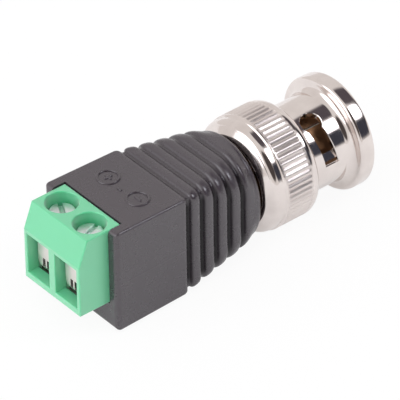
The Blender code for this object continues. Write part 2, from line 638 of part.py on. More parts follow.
def housing(parent):
    """The black sleeve: a loft of rounded rectangles, cored for the block, the leads and the plug's tail."""
    outside = skin([housing_ring(x, inset) for x, inset in housing_stations()])
    shell = add_object("housing", outside, FINISHES["black_plastic"], parent)
    half_block = BLOCK_WIDTH / 2 + SEAT_GAP
    cutters = [
        (
            "cutter_block_notch",
            box(
                (-CUT_MARGIN, -half_block, BLOCK_BOTTOM_Z - SEAT_GAP),
                (BLOCK_TOP_BACK_X + SEAT_GAP, half_block, BLOCK_TOP_Z + CUT_MARGIN),
            ),
        ),
        (
            "cutter_block_foot",
            box(
                (-2 * CUT_MARGIN, -half_block, BLOCK_BOTTOM_Z - SEAT_GAP),
                (CAVITY_BACK_X, half_block, BLOCK_FOOT_TOP_Z + SEAT_GAP),
            ),
        ),
        (
            "cutter_cavity",
            skin(
                [
                    rounded_rectangle(
                        x, HOUSING_HALF_WIDTH - CAVITY_WALL, HOUSING_HALF_HEIGHT - CAVITY_WALL, CAVITY_WALL
                    )
                    for x in (CAVITY_BACK_X - CUT_MARGIN / 2, CAVITY_END_X)
                ]
            ),
        ),
        (
            "cutter_tail_bore",
            turn(
                [
                    (CAVITY_END_X - CUT_MARGIN, 0.0),
                    (CAVITY_END_X - CUT_MARGIN, TAIL_RADIUS + SEAT_GAP),
                    (COLLAR_BACK_X - SEAT_GAP, TAIL_RADIUS + SEAT_GAP),
                    (COLLAR_BACK_X - SEAT_GAP, COLLAR_RADIUS + SEAT_GAP),
                    (HOUSING_LENGTH + CUT_MARGIN, COLLAR_RADIUS + SEAT_GAP),
                    (HOUSING_LENGTH + CUT_MARGIN, 0.0),
                ]
            ),
        ),
    ]
    for name, shape in cutters:
        cut(shell, add_cutter(name, shape, parent))


def plug_body(parent):
    """The turned body: boss, knurled tail, stop collar, grooved neck and shoulder, with a stepped bore."""
    groove_back = RETAINING_RING_X - SEAT_GAP
    groove_front = RETAINING_RING_X + RING_THICKNESS + SEAT_GAP
    profile = [
        (BOSS_BACK_X, BOSS_RADIUS),
        (TAIL_BACK_X, BOSS_RADIUS),
        (TAIL_BACK_X, TAIL_RADIUS),
        (COLLAR_BACK_X, TAIL_RADIUS),
        (COLLAR_BACK_X, COLLAR_RADIUS),
        (COLLAR_FRONT_X, COLLAR_RADIUS),
        (COLLAR_FRONT_X, NECK_RADIUS),
        (groove_back, NECK_RADIUS),
        (groove_back, NECK_GROOVE_RADIUS),
        (groove_front, NECK_GROOVE_RADIUS),
        (groove_front, NECK_RADIUS),
        (SHOULDER_X, NECK_RADIUS),
        (SHOULDER_X, SHOULDER_RADIUS),
        (SHOULDER_FRONT_X, SHOULDER_RADIUS),
        (SHOULDER_FRONT_X, BODY_FRONT_BORE),
        (CONTACT_TAIL_X - SEAT_GAP, BODY_FRONT_BORE),
        (CONTACT_TAIL_X - SEAT_GAP, BODY_BORE),
        (BOSS_BACK_X, BODY_BORE),
    ]
    body = add_object("plug_body", turn(profile), FINISHES["nickel"], parent)
    grooves = bmesh.new()
    for tooth in range(TAIL_TEETH):
        low = (TAIL_BACK_X - CUT_MARGIN / 2, -TAIL_TOOTH_DEPTH, TAIL_RADIUS - TAIL_TOOTH_DEPTH)
        high = (COLLAR_BACK_X - CUT_MARGIN, TAIL_TOOTH_DEPTH, TAIL_RADIUS + TAIL_TOOTH_DEPTH)
        size = Vector(high) - Vector(low)
        centre = (Vector(high) + Vector(low)) / 2
        spread = Matrix.Rotation(2 * math.pi * tooth / TAIL_TEETH, 4, "X")
        place = spread @ Matrix.Translation(centre) @ Matrix.Diagonal((*size, 1.0))
        bmesh.ops.create_cube(grooves, size=1.0, matrix=place)
    cut(body, add_cutter("cutter_tail_knurl", grooves, parent))


def outer_contact(parent):
    """The spring sleeve: a thin stepped tube with a bead at its mouth, slit into fingers."""
    bead_x = CONTACT_FRONT_X - CONTACT_ROOT_LENGTH / 2
    root_x = SHOULDER_FRONT_X + SEAT_GAP
    profile = [
        (CONTACT_TAIL_X, CONTACT_TAIL_RADIUS),
        (root_x, CONTACT_TAIL_RADIUS),
        (root_x, CONTACT_RADIUS),
        (bead_x - CONTACT_ROOT_LENGTH, CONTACT_RADIUS),
        (bead_x, CONTACT_RADIUS + CONTACT_BEAD),
        (CONTACT_FRONT_X, CONTACT_RADIUS - CONTACT_BEAD),
        (CONTACT_FRONT_X, CONTACT_BORE_RADIUS),
        (root_x + CONTACT_WALL, CONTACT_BORE_RADIUS),
        (root_x + CONTACT_WALL, CONTACT_TAIL_BORE),
        (CONTACT_TAIL_X, CONTACT_TAIL_BORE),
    ]
    sleeve = add_object("outer_contact", turn(profile), FINISHES["contact_bronze"], parent)
    slit_x = GASKET_X + GASKET_THICKNESS + CONTACT_ROOT_LENGTH
    slits = bmesh.new()
    for finger in range(CONTACT_FINGERS):
        low = Vector((slit_x, -CONTACT_SLIT_WIDTH / 2, CONTACT_BORE_RADIUS - CONTACT_WALL))
        high = Vector((CONTACT_FRONT_X + CUT_MARGIN, CONTACT_SLIT_WIDTH / 2, CONTACT_RADIUS + CONTACT_WALL))
        spread = Matrix.Rotation(2 * math.pi * finger / CONTACT_FINGERS, 4, "X")
        place = spread @ Matrix.Translation((high + low) / 2) @ Matrix.Diagonal((*(high - low), 1.0))
        bmesh.ops.create_cube(slits, size=1.0, matrix=place)
    cut(sleeve, add_cutter("cutter_contact_slits", slits, parent))


def insulators(parent):
    """The front dielectric, a cup round the pin, and the bush in the tail."""
    bore = PIN_SHAFT_RADIUS + SEAT_GAP
    root_x = SHOULDER_FRONT_X + 2 * SEAT_GAP + CONTACT_WALL
    front = [
        (PIN_COLLAR_X + PIN_COLLAR_LENGTH + SEAT_GAP, BUSH_RADIUS),
        (CONTACT_TAIL_X, BUSH_RADIUS),
        (CONTACT_TAIL_X, DIELECTRIC_TAIL_RADIUS - SEAT_GAP),
        (root_x, DIELECTRIC_TAIL_RADIUS - SEAT_GAP),
        (root_x, DIELECTRIC_RADIUS),
        (DIELECTRIC_FRONT_X, DIELECTRIC_RADIUS),
        (DIELECTRIC_FRONT_X, DIELECTRIC_MOUTH_RADIUS),
        (DIELECTRIC_FLOOR_X, DIELECTRIC_MOUTH_RADIUS),
        (DIELECTRIC_FLOOR_X, bore),
        (PIN_COLLAR_X + PIN_COLLAR_LENGTH + SEAT_GAP, bore),
    ]
    bush_front_x = PIN_COLLAR_X - SEAT_GAP
    bush = [
        (BOSS_BACK_X + SEAT_GAP, BUSH_RADIUS),
        (bush_front_x, BUSH_RADIUS),
        (bush_front_x, bore),
        (BOSS_BACK_X + SEAT_GAP, bore),
    ]
    add_object("front_insulator", turn(front, ROUND_STEPS), FINISHES["white_dielectric"], parent)
    add_object("rear_insulator", turn(bush, SMALL_ROUND_STEPS), FINISHES["white_dielectric"], parent)


def centre_contact(parent):
    """The pin, its collar between the insulators and its solder cup."""
    cup_front_x = BOSS_BACK_X - SEAT_GAP
    profile = [
        (SOLDER_CUP_X, SOLDER_CUP_RADIUS),
        (cup_front_x, SOLDER_CUP_RADIUS),
        (cup_front_x, PIN_SHAFT_RADIUS),
        (PIN_COLLAR_X, PIN_SHAFT_RADIUS),
        (PIN_COLLAR_X, PIN_COLLAR_RADIUS),
        (PIN_COLLAR_X + PIN_COLLAR_LENGTH, PIN_COLLAR_RADIUS),
        (PIN_COLLAR_X + PIN_COLLAR_LENGTH, PIN_SHAFT_RADIUS),
        (DIELECTRIC_FLOOR_X, PIN_SHAFT_RADIUS),
        (DIELECTRIC_FLOOR_X, PIN_RADIUS),
        (PIN_FRONT_X - PIN_TIP_LENGTH, PIN_RADIUS),
        (PIN_FRONT_X - PIN_TIP_LENGTH / 4, PIN_RADIUS / 2),
        (PIN_FRONT_X, 0.0),
        (SOLDER_CUP_X + SOLDER_CUP_DEPTH - LEAD_RADIUS, 0.0),
        (SOLDER_CUP_X + SOLDER_CUP_DEPTH - LEAD_RADIUS, SOLDER_CUP_BORE),
        (SOLDER_CUP_X, SOLDER_CUP_BORE),
    ]
    add_object("centre_contact", turn(profile, SMALL_ROUND_STEPS), FINISHES["gold_plate"], parent)


def flat_ring(name, start, thickness, inner, outer, finish, parent):
    """A flat washer or a gasket."""
    profile = tube_profile(start, start + thickness, inner, outer)
    return add_object(name, turn(profile), FINISHES[finish], parent)


def wave_washer(parent):
    """A ring bent into waves along its circumference."""
    profile = tube_profile(0.0, WAVE_THICKNESS, WASHER_INNER_RADIUS, WASHER_OUTER_RADIUS)
    bm = turn(profile)
    swing = (WAVE_HEIGHT - WAVE_THICKNESS) / 2
    for vertex in bm.verts:
        angle = math.atan2(vertex.co.z, vertex.co.y)
        vertex.co.x += WAVE_WASHER_X + swing * (1 + math.sin(WAVE_COUNT * angle))
    add_object("wave_washer", bm, FINISHES["spring_steel"], parent)


def retaining_ring(parent):
    """The open clip in the neck's groove that keeps the nut on."""
    profile = tube_profile(
        RETAINING_RING_X, RETAINING_RING_X + RING_THICKNESS, RING_INNER_RADIUS, RING_OUTER_RADIUS
    )
    clip = add_object("retaining_ring", turn(profile), FINISHES["contact_bronze"], parent)
    reach = RING_OUTER_RADIUS + CUT_MARGIN
    half_width = reach * math.sin(RING_OPENING / 2)
    depth = reach * math.cos(RING_OPENING / 2)
    rings = [
        [(x, 0.0, 0.0), (x, -half_width, -depth), (x, half_width, -depth)]
        for x in (RETAINING_RING_X - CUT_MARGIN, RETAINING_RING_X + RING_THICKNESS + CUT_MARGIN)
    ]
    cut(clip, add_cutter("cutter_ring_opening", skin(rings), parent))


def ground_lug(parent):
    """The solder ring on the boss, with a tab that runs back beside the lead."""
    ring = flat_ring(
        "ground_lug", LUG_X, LUG_THICKNESS, LUG_INNER_RADIUS, LUG_OUTER_RADIUS, "tinned_brass", parent
    )
    tab = box(
        (LUG_X - LUG_TAB_LENGTH, -LUG_OUTER_RADIUS, -LUG_TAB_WIDTH / 2),
        (LUG_X + LUG_THICKNESS / 2, -LUG_OUTER_RADIUS + LUG_THICKNESS, LUG_TAB_WIDTH / 2),
    )
    join(ring, add_cutter("tab_of_ground_lug", tab, parent))


def cam_band(angle_and_x, half_width, inner, outer):
    """A cutter that follows a path of (angle, x) points round the nut: a bar of a given width along X."""
    rings = []
    for angle, x in angle_and_x:
        outward = Vector((0.0, -math.cos(angle), math.sin(angle)))
        rings.append(
            [
                Vector((x - half_width, 0.0, 0.0)) + outward * inner,
                Vector((x + half_width, 0.0, 0.0)) + outward * inner,
                Vector((x + half_width, 0.0, 0.0)) + outward * outer,
                Vector((x - half_width, 0.0, 0.0)) + outward * outer,
            ]
        )
    return skin(rings)


def cam_cutters(index, parent):
    """One bayonet cam: detent hole, open slot, hidden ramp and the entry groove through the rim."""
    turned = 2 * math.pi * index / CAM_COUNT
    slot_x = NUT_FRONT_X - CAM_SLOT_SETBACK
    detent_x = NUT_FRONT_X - CAM_DETENT_SETBACK
    inside = NUT_BORE_RADIUS - CUT_MARGIN / 2
    hidden = NUT_SLEEVE_RADIUS - CAM_SKIN
    outside = NUT_SLEEVE_RADIUS + CUT_MARGIN
    slot_path = []
    ramp_path = []
    for step in range(CAM_STEPS + 1):
        share = step / CAM_STEPS
        angle = CAM_DETENT_ANGLE + (CAM_SLOT_END_ANGLE - CAM_DETENT_ANGLE) * share
        slot_path.append((turned + angle, slot_x))
        ramp_start = CAM_SLOT_END_ANGLE + CAM_RAMP_LEAD
        angle = ramp_start + (CAM_ENTRY_ANGLE - ramp_start) * share
        advance = (CAM_SLOT_SETBACK - RIM_LENGTH) * (1 - math.cos(math.pi * share)) / 2
        ramp_path.append((turned + angle, slot_x + advance))
    stud_angle = CAM_STUD_WIDTH / 2 / NUT_BORE_RADIUS
    entry_path = []
    for share in (-1.0, -0.3, 0.4, 1.0):
        angle = CAM_ENTRY_ANGLE + stud_angle * share
        entry_path.append((turned + angle, NUT_FRONT_X))
    outward = Vector((0.0, -math.cos(turned + CAM_DETENT_ANGLE), math.sin(turned + CAM_DETENT_ANGLE)))
    detent = cylinder(CAM_DETENT_RADIUS, inside, outside)
    facing = Vector((0.0, 0.0, 1.0)).rotation_difference(outward).to_matrix().to_4x4()
    bmesh.ops.transform(detent, matrix=Matrix.Translation((detent_x, 0.0, 0.0)) @ facing, verts=detent.verts)
    return [
        add_cutter(f"cutter_cam_slot_{index}", cam_band(slot_path, CAM_SLOT_WIDTH / 2, inside, outside), parent),
        add_cutter(f"cutter_cam_detent_{index}", detent, parent),
        add_cutter(f"cutter_cam_ramp_{index}", cam_band(ramp_path, CAM_STUD_WIDTH / 2, inside, hidden), parent),
        add_cutter(
            f"cutter_cam_entry_{index}",
            cam_band(entry_path, RIM_LENGTH - RIM_ROUND / 2, inside, NUT_SLEEVE_RADIUS),
            parent,
        ),
    ]


def arc_points(centre_x, centre_r, radius_x, radius_r, start, end, steps):
    """Points of an elliptic arc in a turned outline, with angles in quarter turns."""
    points = []
    for step in range(steps + 1):
        angle = (start + (end - start) * step / steps) * math.pi / 2
        points.append((centre_x + radius_x * math.cos(angle), centre_r + radius_r * math.sin(angle)))
    return points


def nut_outline():
    """Outline of the coupling nut from its back edge over the outside to the mouth and back through the bore."""
    grip_end_x = NUT_BACK_X + NUT_GRIP_LENGTH
    sleeve_x = grip_end_x + SHOULDER_FALL
    rim_x = NUT_FRONT_X - RIM_LENGTH
    fall = NUT_GRIP_RADIUS - NUT_SLEEVE_RADIUS
    chamfer_x = NUT_BACK_X + NUT_CHAMFER_LENGTH
    chamfer_radius = NUT_GRIP_RADIUS - NUT_CHAMFER_DROP
    outside = [
        (NUT_BACK_X, NUT_BACK_RADIUS),
        (chamfer_x - NUT_CHAMFER_ROUND, chamfer_radius - NUT_CHAMFER_ROUND),
        (chamfer_x + NUT_CHAMFER_ROUND, chamfer_radius),
        (NUT_BACK_X + KNURL_START - SEAT_GAP, NUT_GRIP_RADIUS),
    ]
    round_x = SHOULDER_FALL * SHOULDER_ROUND
    round_r = fall * SHOULDER_ROUND
    outside += arc_points(grip_end_x, NUT_GRIP_RADIUS - round_r, round_x, round_r, 1, 0, 4)
    outside += arc_points(
        sleeve_x, NUT_SLEEVE_RADIUS + fall - round_r, SHOULDER_FALL - round_x, fall - round_r, 2, 3, 2
    )[1:]
    outside += arc_points(rim_x - RIM_FILLET, NUT_SLEEVE_RADIUS + RIM_FILLET, RIM_FILLET, RIM_FILLET, 3, 4, 3)
    outside += arc_points(rim_x + RIM_ROUND, NUT_RIM_RADIUS - RIM_ROUND, RIM_ROUND, RIM_ROUND, 2, 1, 3)
    outside += arc_points(NUT_FRONT_X - RIM_ROUND, NUT_RIM_RADIUS - RIM_ROUND, RIM_ROUND, RIM_ROUND, 1, 0, 3)
    inside = [
        (NUT_FRONT_X, NUT_BORE_RADIUS + 2 * SEAT_GAP),
        (NUT_FRONT_X - 2 * SEAT_GAP, NUT_BORE_RADIUS),
        (NUT_FLANGE_FRONT_X, NUT_BORE_RADIUS),
        (NUT_FLANGE_FRONT_X, WASHER_INNER_RADIUS),
        (NUT_FLANGE_BACK_X, WASHER_INNER_RADIUS),
        (NUT_FLANGE_BACK_X, NUT_RECESS_RADIUS),
        (NUT_BACK_X, NUT_RECESS_RADIUS),
    ]
    return outside + inside


def coupling_nut(parent):
    """The bayonet nut: a turned shell, knurled by lifting its grip into teeth, with the cams cut through it."""
    knurl_back_x = NUT_BACK_X + KNURL_START
    knurl_front_x = knurl_back_x + KNURL_LENGTH
    outline = nut_outline()
    grip_start = outline.index(next(point for point in outline if point[1] >= NUT_GRIP_RADIUS - SEAT_GAP / 2))
    bands = [knurl_back_x, knurl_back_x + KNURL_RUNOUT, knurl_front_x - KNURL_RUNOUT, knurl_front_x]
    outline[grip_start + 1 : grip_start + 1] = [(x, NUT_GRIP_RADIUS) for x in bands]
    bm = turn(outline, KNURL_TEETH)
    in_band = [
        edge
        for edge in bm.edges
        if all(abs(v.co.x - bands[1]) < SEAT_GAP / 10 or abs(v.co.x - bands[2]) < SEAT_GAP / 10 for v in edge.verts)
        and abs(edge.verts[0].co.x - edge.verts[1].co.x) < SEAT_GAP / 10
        and math.hypot(edge.verts[0].co.y, edge.verts[0].co.z) > NUT_SLEEVE_RADIUS
    ]
    valleys = bmesh.ops.subdivide_edges(bm, edges=in_band, cuts=1)["geom_inner"]
    for vertex in valleys:
        if isinstance(vertex, bmesh.types.BMVert):
            vertex.co.yz = vertex.co.yz * (1 - KNURL_DEPTH / NUT_GRIP_RADIUS)
    nut = add_object("coupling_nut", bm, FINISHES["nickel"], parent)
    for index in range(CAM_COUNT):
        for cutter in cam_cutters(index, parent):
            cut(nut, cutter, "MANIFOLD")


def smooth_route(points, steps_per_span):
    """Points on a smooth curve through the route's own points."""
    route = [Vector(point) for point in points]
    ends = [2 * route[0] - route[1]] + route + [2 * route[-1] - route[-2]]
    smooth = []
    for i in range(1, len(ends) - 2):
        before, start, end, after = ends[i - 1 : i + 3]
        for step in range(steps_per_span):
            t = step / steps_per_span
            smooth.append(
                0.5
                * (
                    2 * start
                    + (end - before) * t
                    + (2 * before - 5 * start + 4 * end - after) * t**2
                    + (3 * start - before - 3 * end + after) * t**3
                )
            )
    return smooth + [route[-1]]


def lead_curve(name, points, radius, finish, parent):
    """A round wire along a smooth route."""
    curve = bpy.data.curves.new(name, "CURVE")
    curve.dimensions = "3D"
    curve.bevel_depth = radius
    curve.bevel_resolution = 2
    curve.use_fill_caps = True
    spline = curve.splines.new("POLY")
    spline.points.add(len(points) - 1)
    for target, point in zip(spline.points, points):
        target.co = (*point, 1.0)
    curve.materials.append(FINISHES[finish])
    made = bpy.data.objects.new(name, curve)
    made.parent = parent
    bpy.context.scene.collection.objects.link(made)


def tube_along(name, points, inner, outer, finish, parent):
    """A sleeve along a route: two skins joined by flat end rings."""
    rings = {inner: [], outer: []}
    for i, point in enumerate(points):
        ahead = (points[min(i + 1, len(points) - 1)] - points[max(i - 1, 0)]).normalized()
        side = ahead.cross(Vector((0.0, 0.0, 1.0))).normalized()
        up = side.cross(ahead)
        for radius, made in rings.items():
            made.append(
                [
                    point + radius * (side * math.cos(angle) + up * math.sin(angle))
                    for angle in (2 * math.pi * step / SLEEVE_STEPS for step in range(SLEEVE_STEPS))
                ]
            )
    loop = rings[outer] + rings[inner][::-1] + rings[outer][:1]
    add_object(name, skin(loop, closed_ends=False), FINISHES[finish], parent)


def leads(parent):
    """The two wires from the block's solder tails to the pin's cup and to the ground lug."""
    rest_z = FRAME_FLOOR_Z + LEAD_RADIUS + SEAT_GAP
    start_x = TAIL_END_X - LEAD_OVERLAP
    cup_x = SOLDER_CUP_X + SOLDER_CUP_DEPTH - LEAD_RADIUS - SEAT_GAP
    middle_x = (TAIL_END_X + SOLDER_CUP_X) / 2
    signal = smooth_route(
        [
            (start_x, POLE_POSITIVE_Y, rest_z),
            (TAIL_END_X + LEAD_OVERLAP, POLE_POSITIVE_Y, rest_z),
            (middle_x, POLE_POSITIVE_Y / 2, rest_z / 2),
            (SOLDER_CUP_X - LEAD_OVERLAP, 0.0, 0.0),
            (cup_x, 0.0, 0.0),
        ],
        ROUTE_STEPS,
    )
    lead_curve("signal_lead", signal, LEAD_RADIUS, "tinned_copper", parent)
    covered = signal[ROUTE_STEPS : 3 * ROUTE_STEPS + 1]
    inner = LEAD_RADIUS + SEAT_GAP
    tube_along("signal_sleeve", covered, inner, inner + SLEEVE_WALL, "red_sleeve", parent)
    tab_y = -LUG_OUTER_RADIUS + LUG_THICKNESS + SEAT_GAP + LEAD_RADIUS
    tab_x = LUG_X - LUG_TAB_LENGTH
    ground = smooth_route(
        [
            (start_x, POLE_NEGATIVE_Y, rest_z),
            (TAIL_END_X + LEAD_OVERLAP, POLE_NEGATIVE_Y, rest_z),
            ((TAIL_END_X + tab_x) / 2, (POLE_NEGATIVE_Y + tab_y) / 2, rest_z / 2),
            (tab_x, tab_y, 0.0),
            (tab_x + LUG_TAB_LENGTH / 2, tab_y, 0.0),
        ],
        ROUTE_STEPS,
    )
    lead_curve("ground_lead", ground, LEAD_RADIUS, "tinned_copper", parent)


clear_scene()
FINISHES = {
    "cutter": make_material("cutter", (0.8, 0.2, 0.2), 0.5),
    "green_plastic": make_material("green_polyamide", (0.06, 0.52, 0.21), 0.42),
    "black_plastic": make_material("black_moulding", (0.030, 0.027, 0.029), 0.45),
    "tinned_brass": make_material("tinned_brass", (0.62, 0.60, 0.57), 0.35, 1.0),
    "tinned_leaf": make_material("tinned_leaf", (0.72, 0.68, 0.66), 0.45, 1.0),
    "screw_steel": make_material("zinc_plated_steel", (0.70, 0.70, 0.72), 0.28, 1.0),
    "nickel": make_material("nickel_plate", (0.70, 0.66, 0.62), 0.22, 1.0),
    "contact_bronze": make_material("phosphor_bronze", (0.42, 0.27, 0.15), 0.32, 1.0),
    "gold_plate": make_material("gold_plate", (0.80, 0.56, 0.22), 0.25, 1.0),
    "white_dielectric": make_material("white_dielectric", (0.78, 0.77, 0.74), 0.5),
    "spring_steel": make_material("spring_steel", (0.50, 0.50, 0.50), 0.3, 1.0),
    "black_rubber": make_material("black_rubber", (0.02, 0.02, 0.02), 0.7),
    "tinned_copper": make_material("tinned_copper", (0.66, 0.62, 0.58), 0.35, 1.0),
    "red_sleeve": make_material("red_sleeve", (0.42, 0.03, 0.03), 0.5),
}
POLES = {"positive": POLE_POSITIVE_Y, "negative": POLE_NEGATIVE_Y}
SLOT_ANGLES = {"positive": POSITIVE_SLOT_ANGLE, "negative": NEGATIVE_SLOT_ANGLE}

adapter = bpy.data.objects.new("adapter", None)
adapter.location = (-MIDDLE_X, 0.0, 0.0)
bpy.context.scene.collection.objects.link(adapter)

housing(adapter)
terminal_housing(adapter)
for pole, pole_y in POLES.items():
    contact_frame(pole, pole_y, adapter)
    clamp_screw(pole, pole_y, SLOT_ANGLES[pole], adapter)
    wire_guard(pole, pole_y, adapter)
plug_body(adapter)
outer_contact(adapter)
insulators(adapter)
centre_contact(adapter)
coupling_nut(adapter)
retaining_ring(adapter)
flat_ring(
    "thrust_washer",
    THRUST_WASHER_X,
    WASHER_THICKNESS,
    WASHER_INNER_RADIUS,
    WASHER_OUTER_RADIUS,
    "spring_steel",
    adapter,
)
wave_washer(adapter)
flat_ring(
    "backing_washer",
    BACKING_WASHER_X,
    WASHER_THICKNESS,
    WASHER_INNER_RADIUS,
    WASHER_OUTER_RADIUS,
    "spring_steel",
    adapter,
)
flat_ring(
    "face_gasket",
    GASKET_X,
    GASKET_THICKNESS,
    CONTACT_RADIUS + SEAT_GAP,
    SHOULDER_RADIUS,
    "black_rubber",
    adapter,
)
ground_lug(adapter)
leads(adapter)
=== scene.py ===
import json
import math

import bmesh
import bpy
import numpy as np
from mathutils import Matrix, Vector


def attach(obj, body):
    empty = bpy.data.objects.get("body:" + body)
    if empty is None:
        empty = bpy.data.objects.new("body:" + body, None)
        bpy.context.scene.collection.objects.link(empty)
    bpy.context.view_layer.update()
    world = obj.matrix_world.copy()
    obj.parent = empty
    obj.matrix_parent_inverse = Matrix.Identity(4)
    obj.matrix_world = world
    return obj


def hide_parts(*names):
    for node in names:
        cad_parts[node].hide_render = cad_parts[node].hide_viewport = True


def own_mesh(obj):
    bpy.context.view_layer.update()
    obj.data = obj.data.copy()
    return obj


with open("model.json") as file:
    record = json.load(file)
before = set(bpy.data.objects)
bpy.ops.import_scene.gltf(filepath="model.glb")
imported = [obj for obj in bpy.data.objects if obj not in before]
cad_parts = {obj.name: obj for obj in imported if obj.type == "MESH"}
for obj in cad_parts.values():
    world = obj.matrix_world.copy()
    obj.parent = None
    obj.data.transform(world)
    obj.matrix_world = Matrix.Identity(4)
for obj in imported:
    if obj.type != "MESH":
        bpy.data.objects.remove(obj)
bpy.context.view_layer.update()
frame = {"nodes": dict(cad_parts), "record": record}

# The adapter's finer pieces, its finishes, the lamps and the camera.
# Shapes are worked out in millimetres from the moulded housing's back face along the plug's axis. Angles
# round that axis start at the near side, -Y, and rise to the top, +Z. The shared frame's origin is 16.9 mm
# along the axis.

MM = 0.001
ORIGIN_X = 16.9
BODY = "adapter_body"
POLES = {"positive": 2.5, "negative": -2.5}

# Coupling nut
NUT_BACK = 22.3
NUT_FRONT = 38.0
GRIP_RADIUS = 7.25
SLEEVE_RADIUS = 5.55
RIM_RADIUS = 7.15
RIM_LENGTH = 2.1
RIM_EDGE = 0.45
RIM_FILLET = 1.0
BORE_RADIUS = 4.87
BORE_EDGE = 0.2
FLANGE_BACK = 22.95
FLANGE_FRONT = 24.4
FLANGE_BORE = 4.32
RECESS_RADIUS = 5.2

# Its knurl: teeth round the nut, and how far each end of the band runs out
KNURL_TEETH = 60
STEPS_PER_TOOTH = 8
KNURL_DEPTH = 0.145
KNURL_BACK = 24.8
KNURL_FRONT = 28.4
KNURL_RUN_OUT = 0.2

# Its bayonet cams, with angles in degrees
SLOT_BACK_X = 31.9
SLOT_FRONT_X = 32.75
SLOT_HALF_WIDTH = 0.925
SLOT_END_ANGLE = 4.0
DETENT_X = 32.08
DETENT_RADIUS = 1.35
DETENT_ANGLE = 63.3
RAMP_START_ANGLE = 9.0
RAMP_SWEEP = 61.0
RAMP_RUN = 3.2
RAMP_HALF_WIDTH = 1.15
RAMP_RADIUS = 5.35
ENTRY_ANGLES = (-65.5, -38.5)
ENTRY_HALF_WIDTH = 1.875
ENTRY_RADIUS = 5.5
EDGE_BREAK = 0.09

# Moulded housing
HOUSING_LENGTH = 21.5
HALF_WIDTH = 6.3
HALF_HEIGHT = 6.76
SQUARE_END = 10.0
SQUARE_CORNER = 0.3
CORNER_GROWTH = 4.7
FRONT_GROWTH = 1.2
FRONT_GROWTH_START = 19.2
GROWTH_END = 20.8
DRAFT = 0.15
BACK_EDGE = 0.65
PARTING_Z = -0.35
PARTING_RIDGE = 0.03
CAVITY_HALF_WIDTH = 4.4
CAVITY_HALF_HEIGHT = 4.86
CAVITY_CORNER = 1.9
CAVITY_ENDS = (3.2, 13.5)
TAIL_BORE_RADIUS = 4.55
TAIL_BORE_BACK = 12.5
MOUTH_RADIUS = 5.125
MOUTH_BACK = 20.9
MOUTH_CHAMFER = 0.15

# Its ring grooves. The section is distance from a groove's middle and depth, and the grooves are shallower
# over the top and bottom
GROOVE_START = 10.9
GROOVE_STEP = 2.0
GROOVES = 5
GROOVES_END = 20.0
SHALLOW_SHARE = 0.55
GROOVE_SECTION = np.array(
    [
        [(0.0, 0.62), (0.10, 0.615), (0.18, 0.58), (0.25, 0.51), (0.31, 0.41), (0.37, 0.30)],
        [(0.43, 0.205), (0.50, 0.125), (0.60, 0.06), (0.73, 0.018), (0.88, 0.0), (1.0, 0.0)],
    ]
).reshape(-1, 2)

# Polarity marks on the housing's top: their middle, and a stroke's width and height
MARK_X = 6.28
MARK_WIDTH = 0.34
MARK_HEIGHT = 0.15

# Terminal block
BLOCK_HALF_WIDTH = 5.0
BLOCK_FACE = -4.2
BLOCK_FLOOR = -3.42
BLOCK_TOP = 6.76
TOP_FRONT = 1.9
FOOT_FRONT = 3.6
FOOT_TOP = 5.01
BLOCK_OUTLINE = [
    (BLOCK_FACE, BLOCK_FLOOR),
    (FOOT_FRONT, BLOCK_FLOOR),
    (FOOT_FRONT, FOOT_TOP),
    (TOP_FRONT, FOOT_TOP),
    (TOP_FRONT, BLOCK_TOP),
    (-2.95, BLOCK_TOP),
    (BLOCK_FACE, 3.43),
]
BLOCK_EDGE = 0.16
BLOCK_CLEARANCE = 0.1

# Its cells: the window a wire goes in by, the chamber behind it, the leaf's slot and the screw's hole
CELL_HALF_WIDTH = 1.95
WINDOW_SILL = -2.52
WINDOW_HEAD = 2.93
WINDOW_FLARE = 0.08
CHAMBER_BACK = -2.7
CHAMBER_FLOOR = -2.92
CHAMBER_ROOF = 3.93
LEAF_SLOT_BACK = -3.15
LEAF_SLOT_FRONT = -2.2
LEAF_SLOT_HALF_WIDTH = 1.6
LEAF_SLOT_FLOOR = -1.5
LEAF_SLOT_ROOF = 4.43
SCREW_HOLE_RADIUS = 1.95
SCREW_HOLE_BOTTOM = 2.9

# Clamp screws and the leaves under them
SCREW_X = -0.525
SCREW_END = -1.42
SHANK_RADIUS = 1.2
HEAD_UNDER = 4.46
HEAD_TOP = 5.56
HEAD_RADIUS = 1.55
DRIVE_HALF_WIDTH = 0.25
LEAF_THICKNESS = 0.25
LEAF_HALF_WIDTH = 1.5
LEAF_TIP_RADIUS = 1.1
LEAF_NECK = 0.62
LEAF_BEND = 0.45
LEAF_BEND_X = -2.6
LEAF_BEND_Z = -1.32

# Outer contact: the first slit's turn in degrees, at which a single slit crosses each cam slot
FINGERS = 6
SLIT_HALF_WIDTH = 0.15
FIRST_SLIT_ANGLE = 25.5


# Shapes on grids


def grid_faces(rows, columns, close_rows):
    """Faces of rings of points, ring after ring: each joins a point to the next one round its ring and to the
    same two on the next ring."""
    ring_steps = rows if close_rows else rows - 1
    row, column = np.meshgrid(np.arange(ring_steps), np.arange(columns), indexing="ij")
    next_row, next_column = (row + 1) % rows, (column + 1) % columns
    corners = [row * columns + column, next_row * columns + column]
    corners += [next_row * columns + next_column, row * columns + next_column]
    return np.stack(corners, -1).reshape(-1, 4).tolist()


def skin(points, close_rows=False):
    """A closed shell through rings of points: points[row, place round the ring]. Open rows get a face at
    each end."""
    rows, columns = points.shape[:2]
    faces = grid_faces(rows, columns, close_rows)
    if not close_rows:
        faces += [list(range(columns)), list(range((rows - 1) * columns, rows * columns))]
    return points.reshape(-1, 3), faces


def arc(centre_x, centre_r, radius_x, radius_r, start, end, steps):
    """Points of an elliptic arc: centre plus the two radii times cosine and sine, with angles in quarter
    turns."""
    angle = np.linspace(start, end, steps + 1) * np.pi / 2
    return np.stack([centre_x + radius_x * np.cos(angle), centre_r + radius_r * np.sin(angle)], 1)


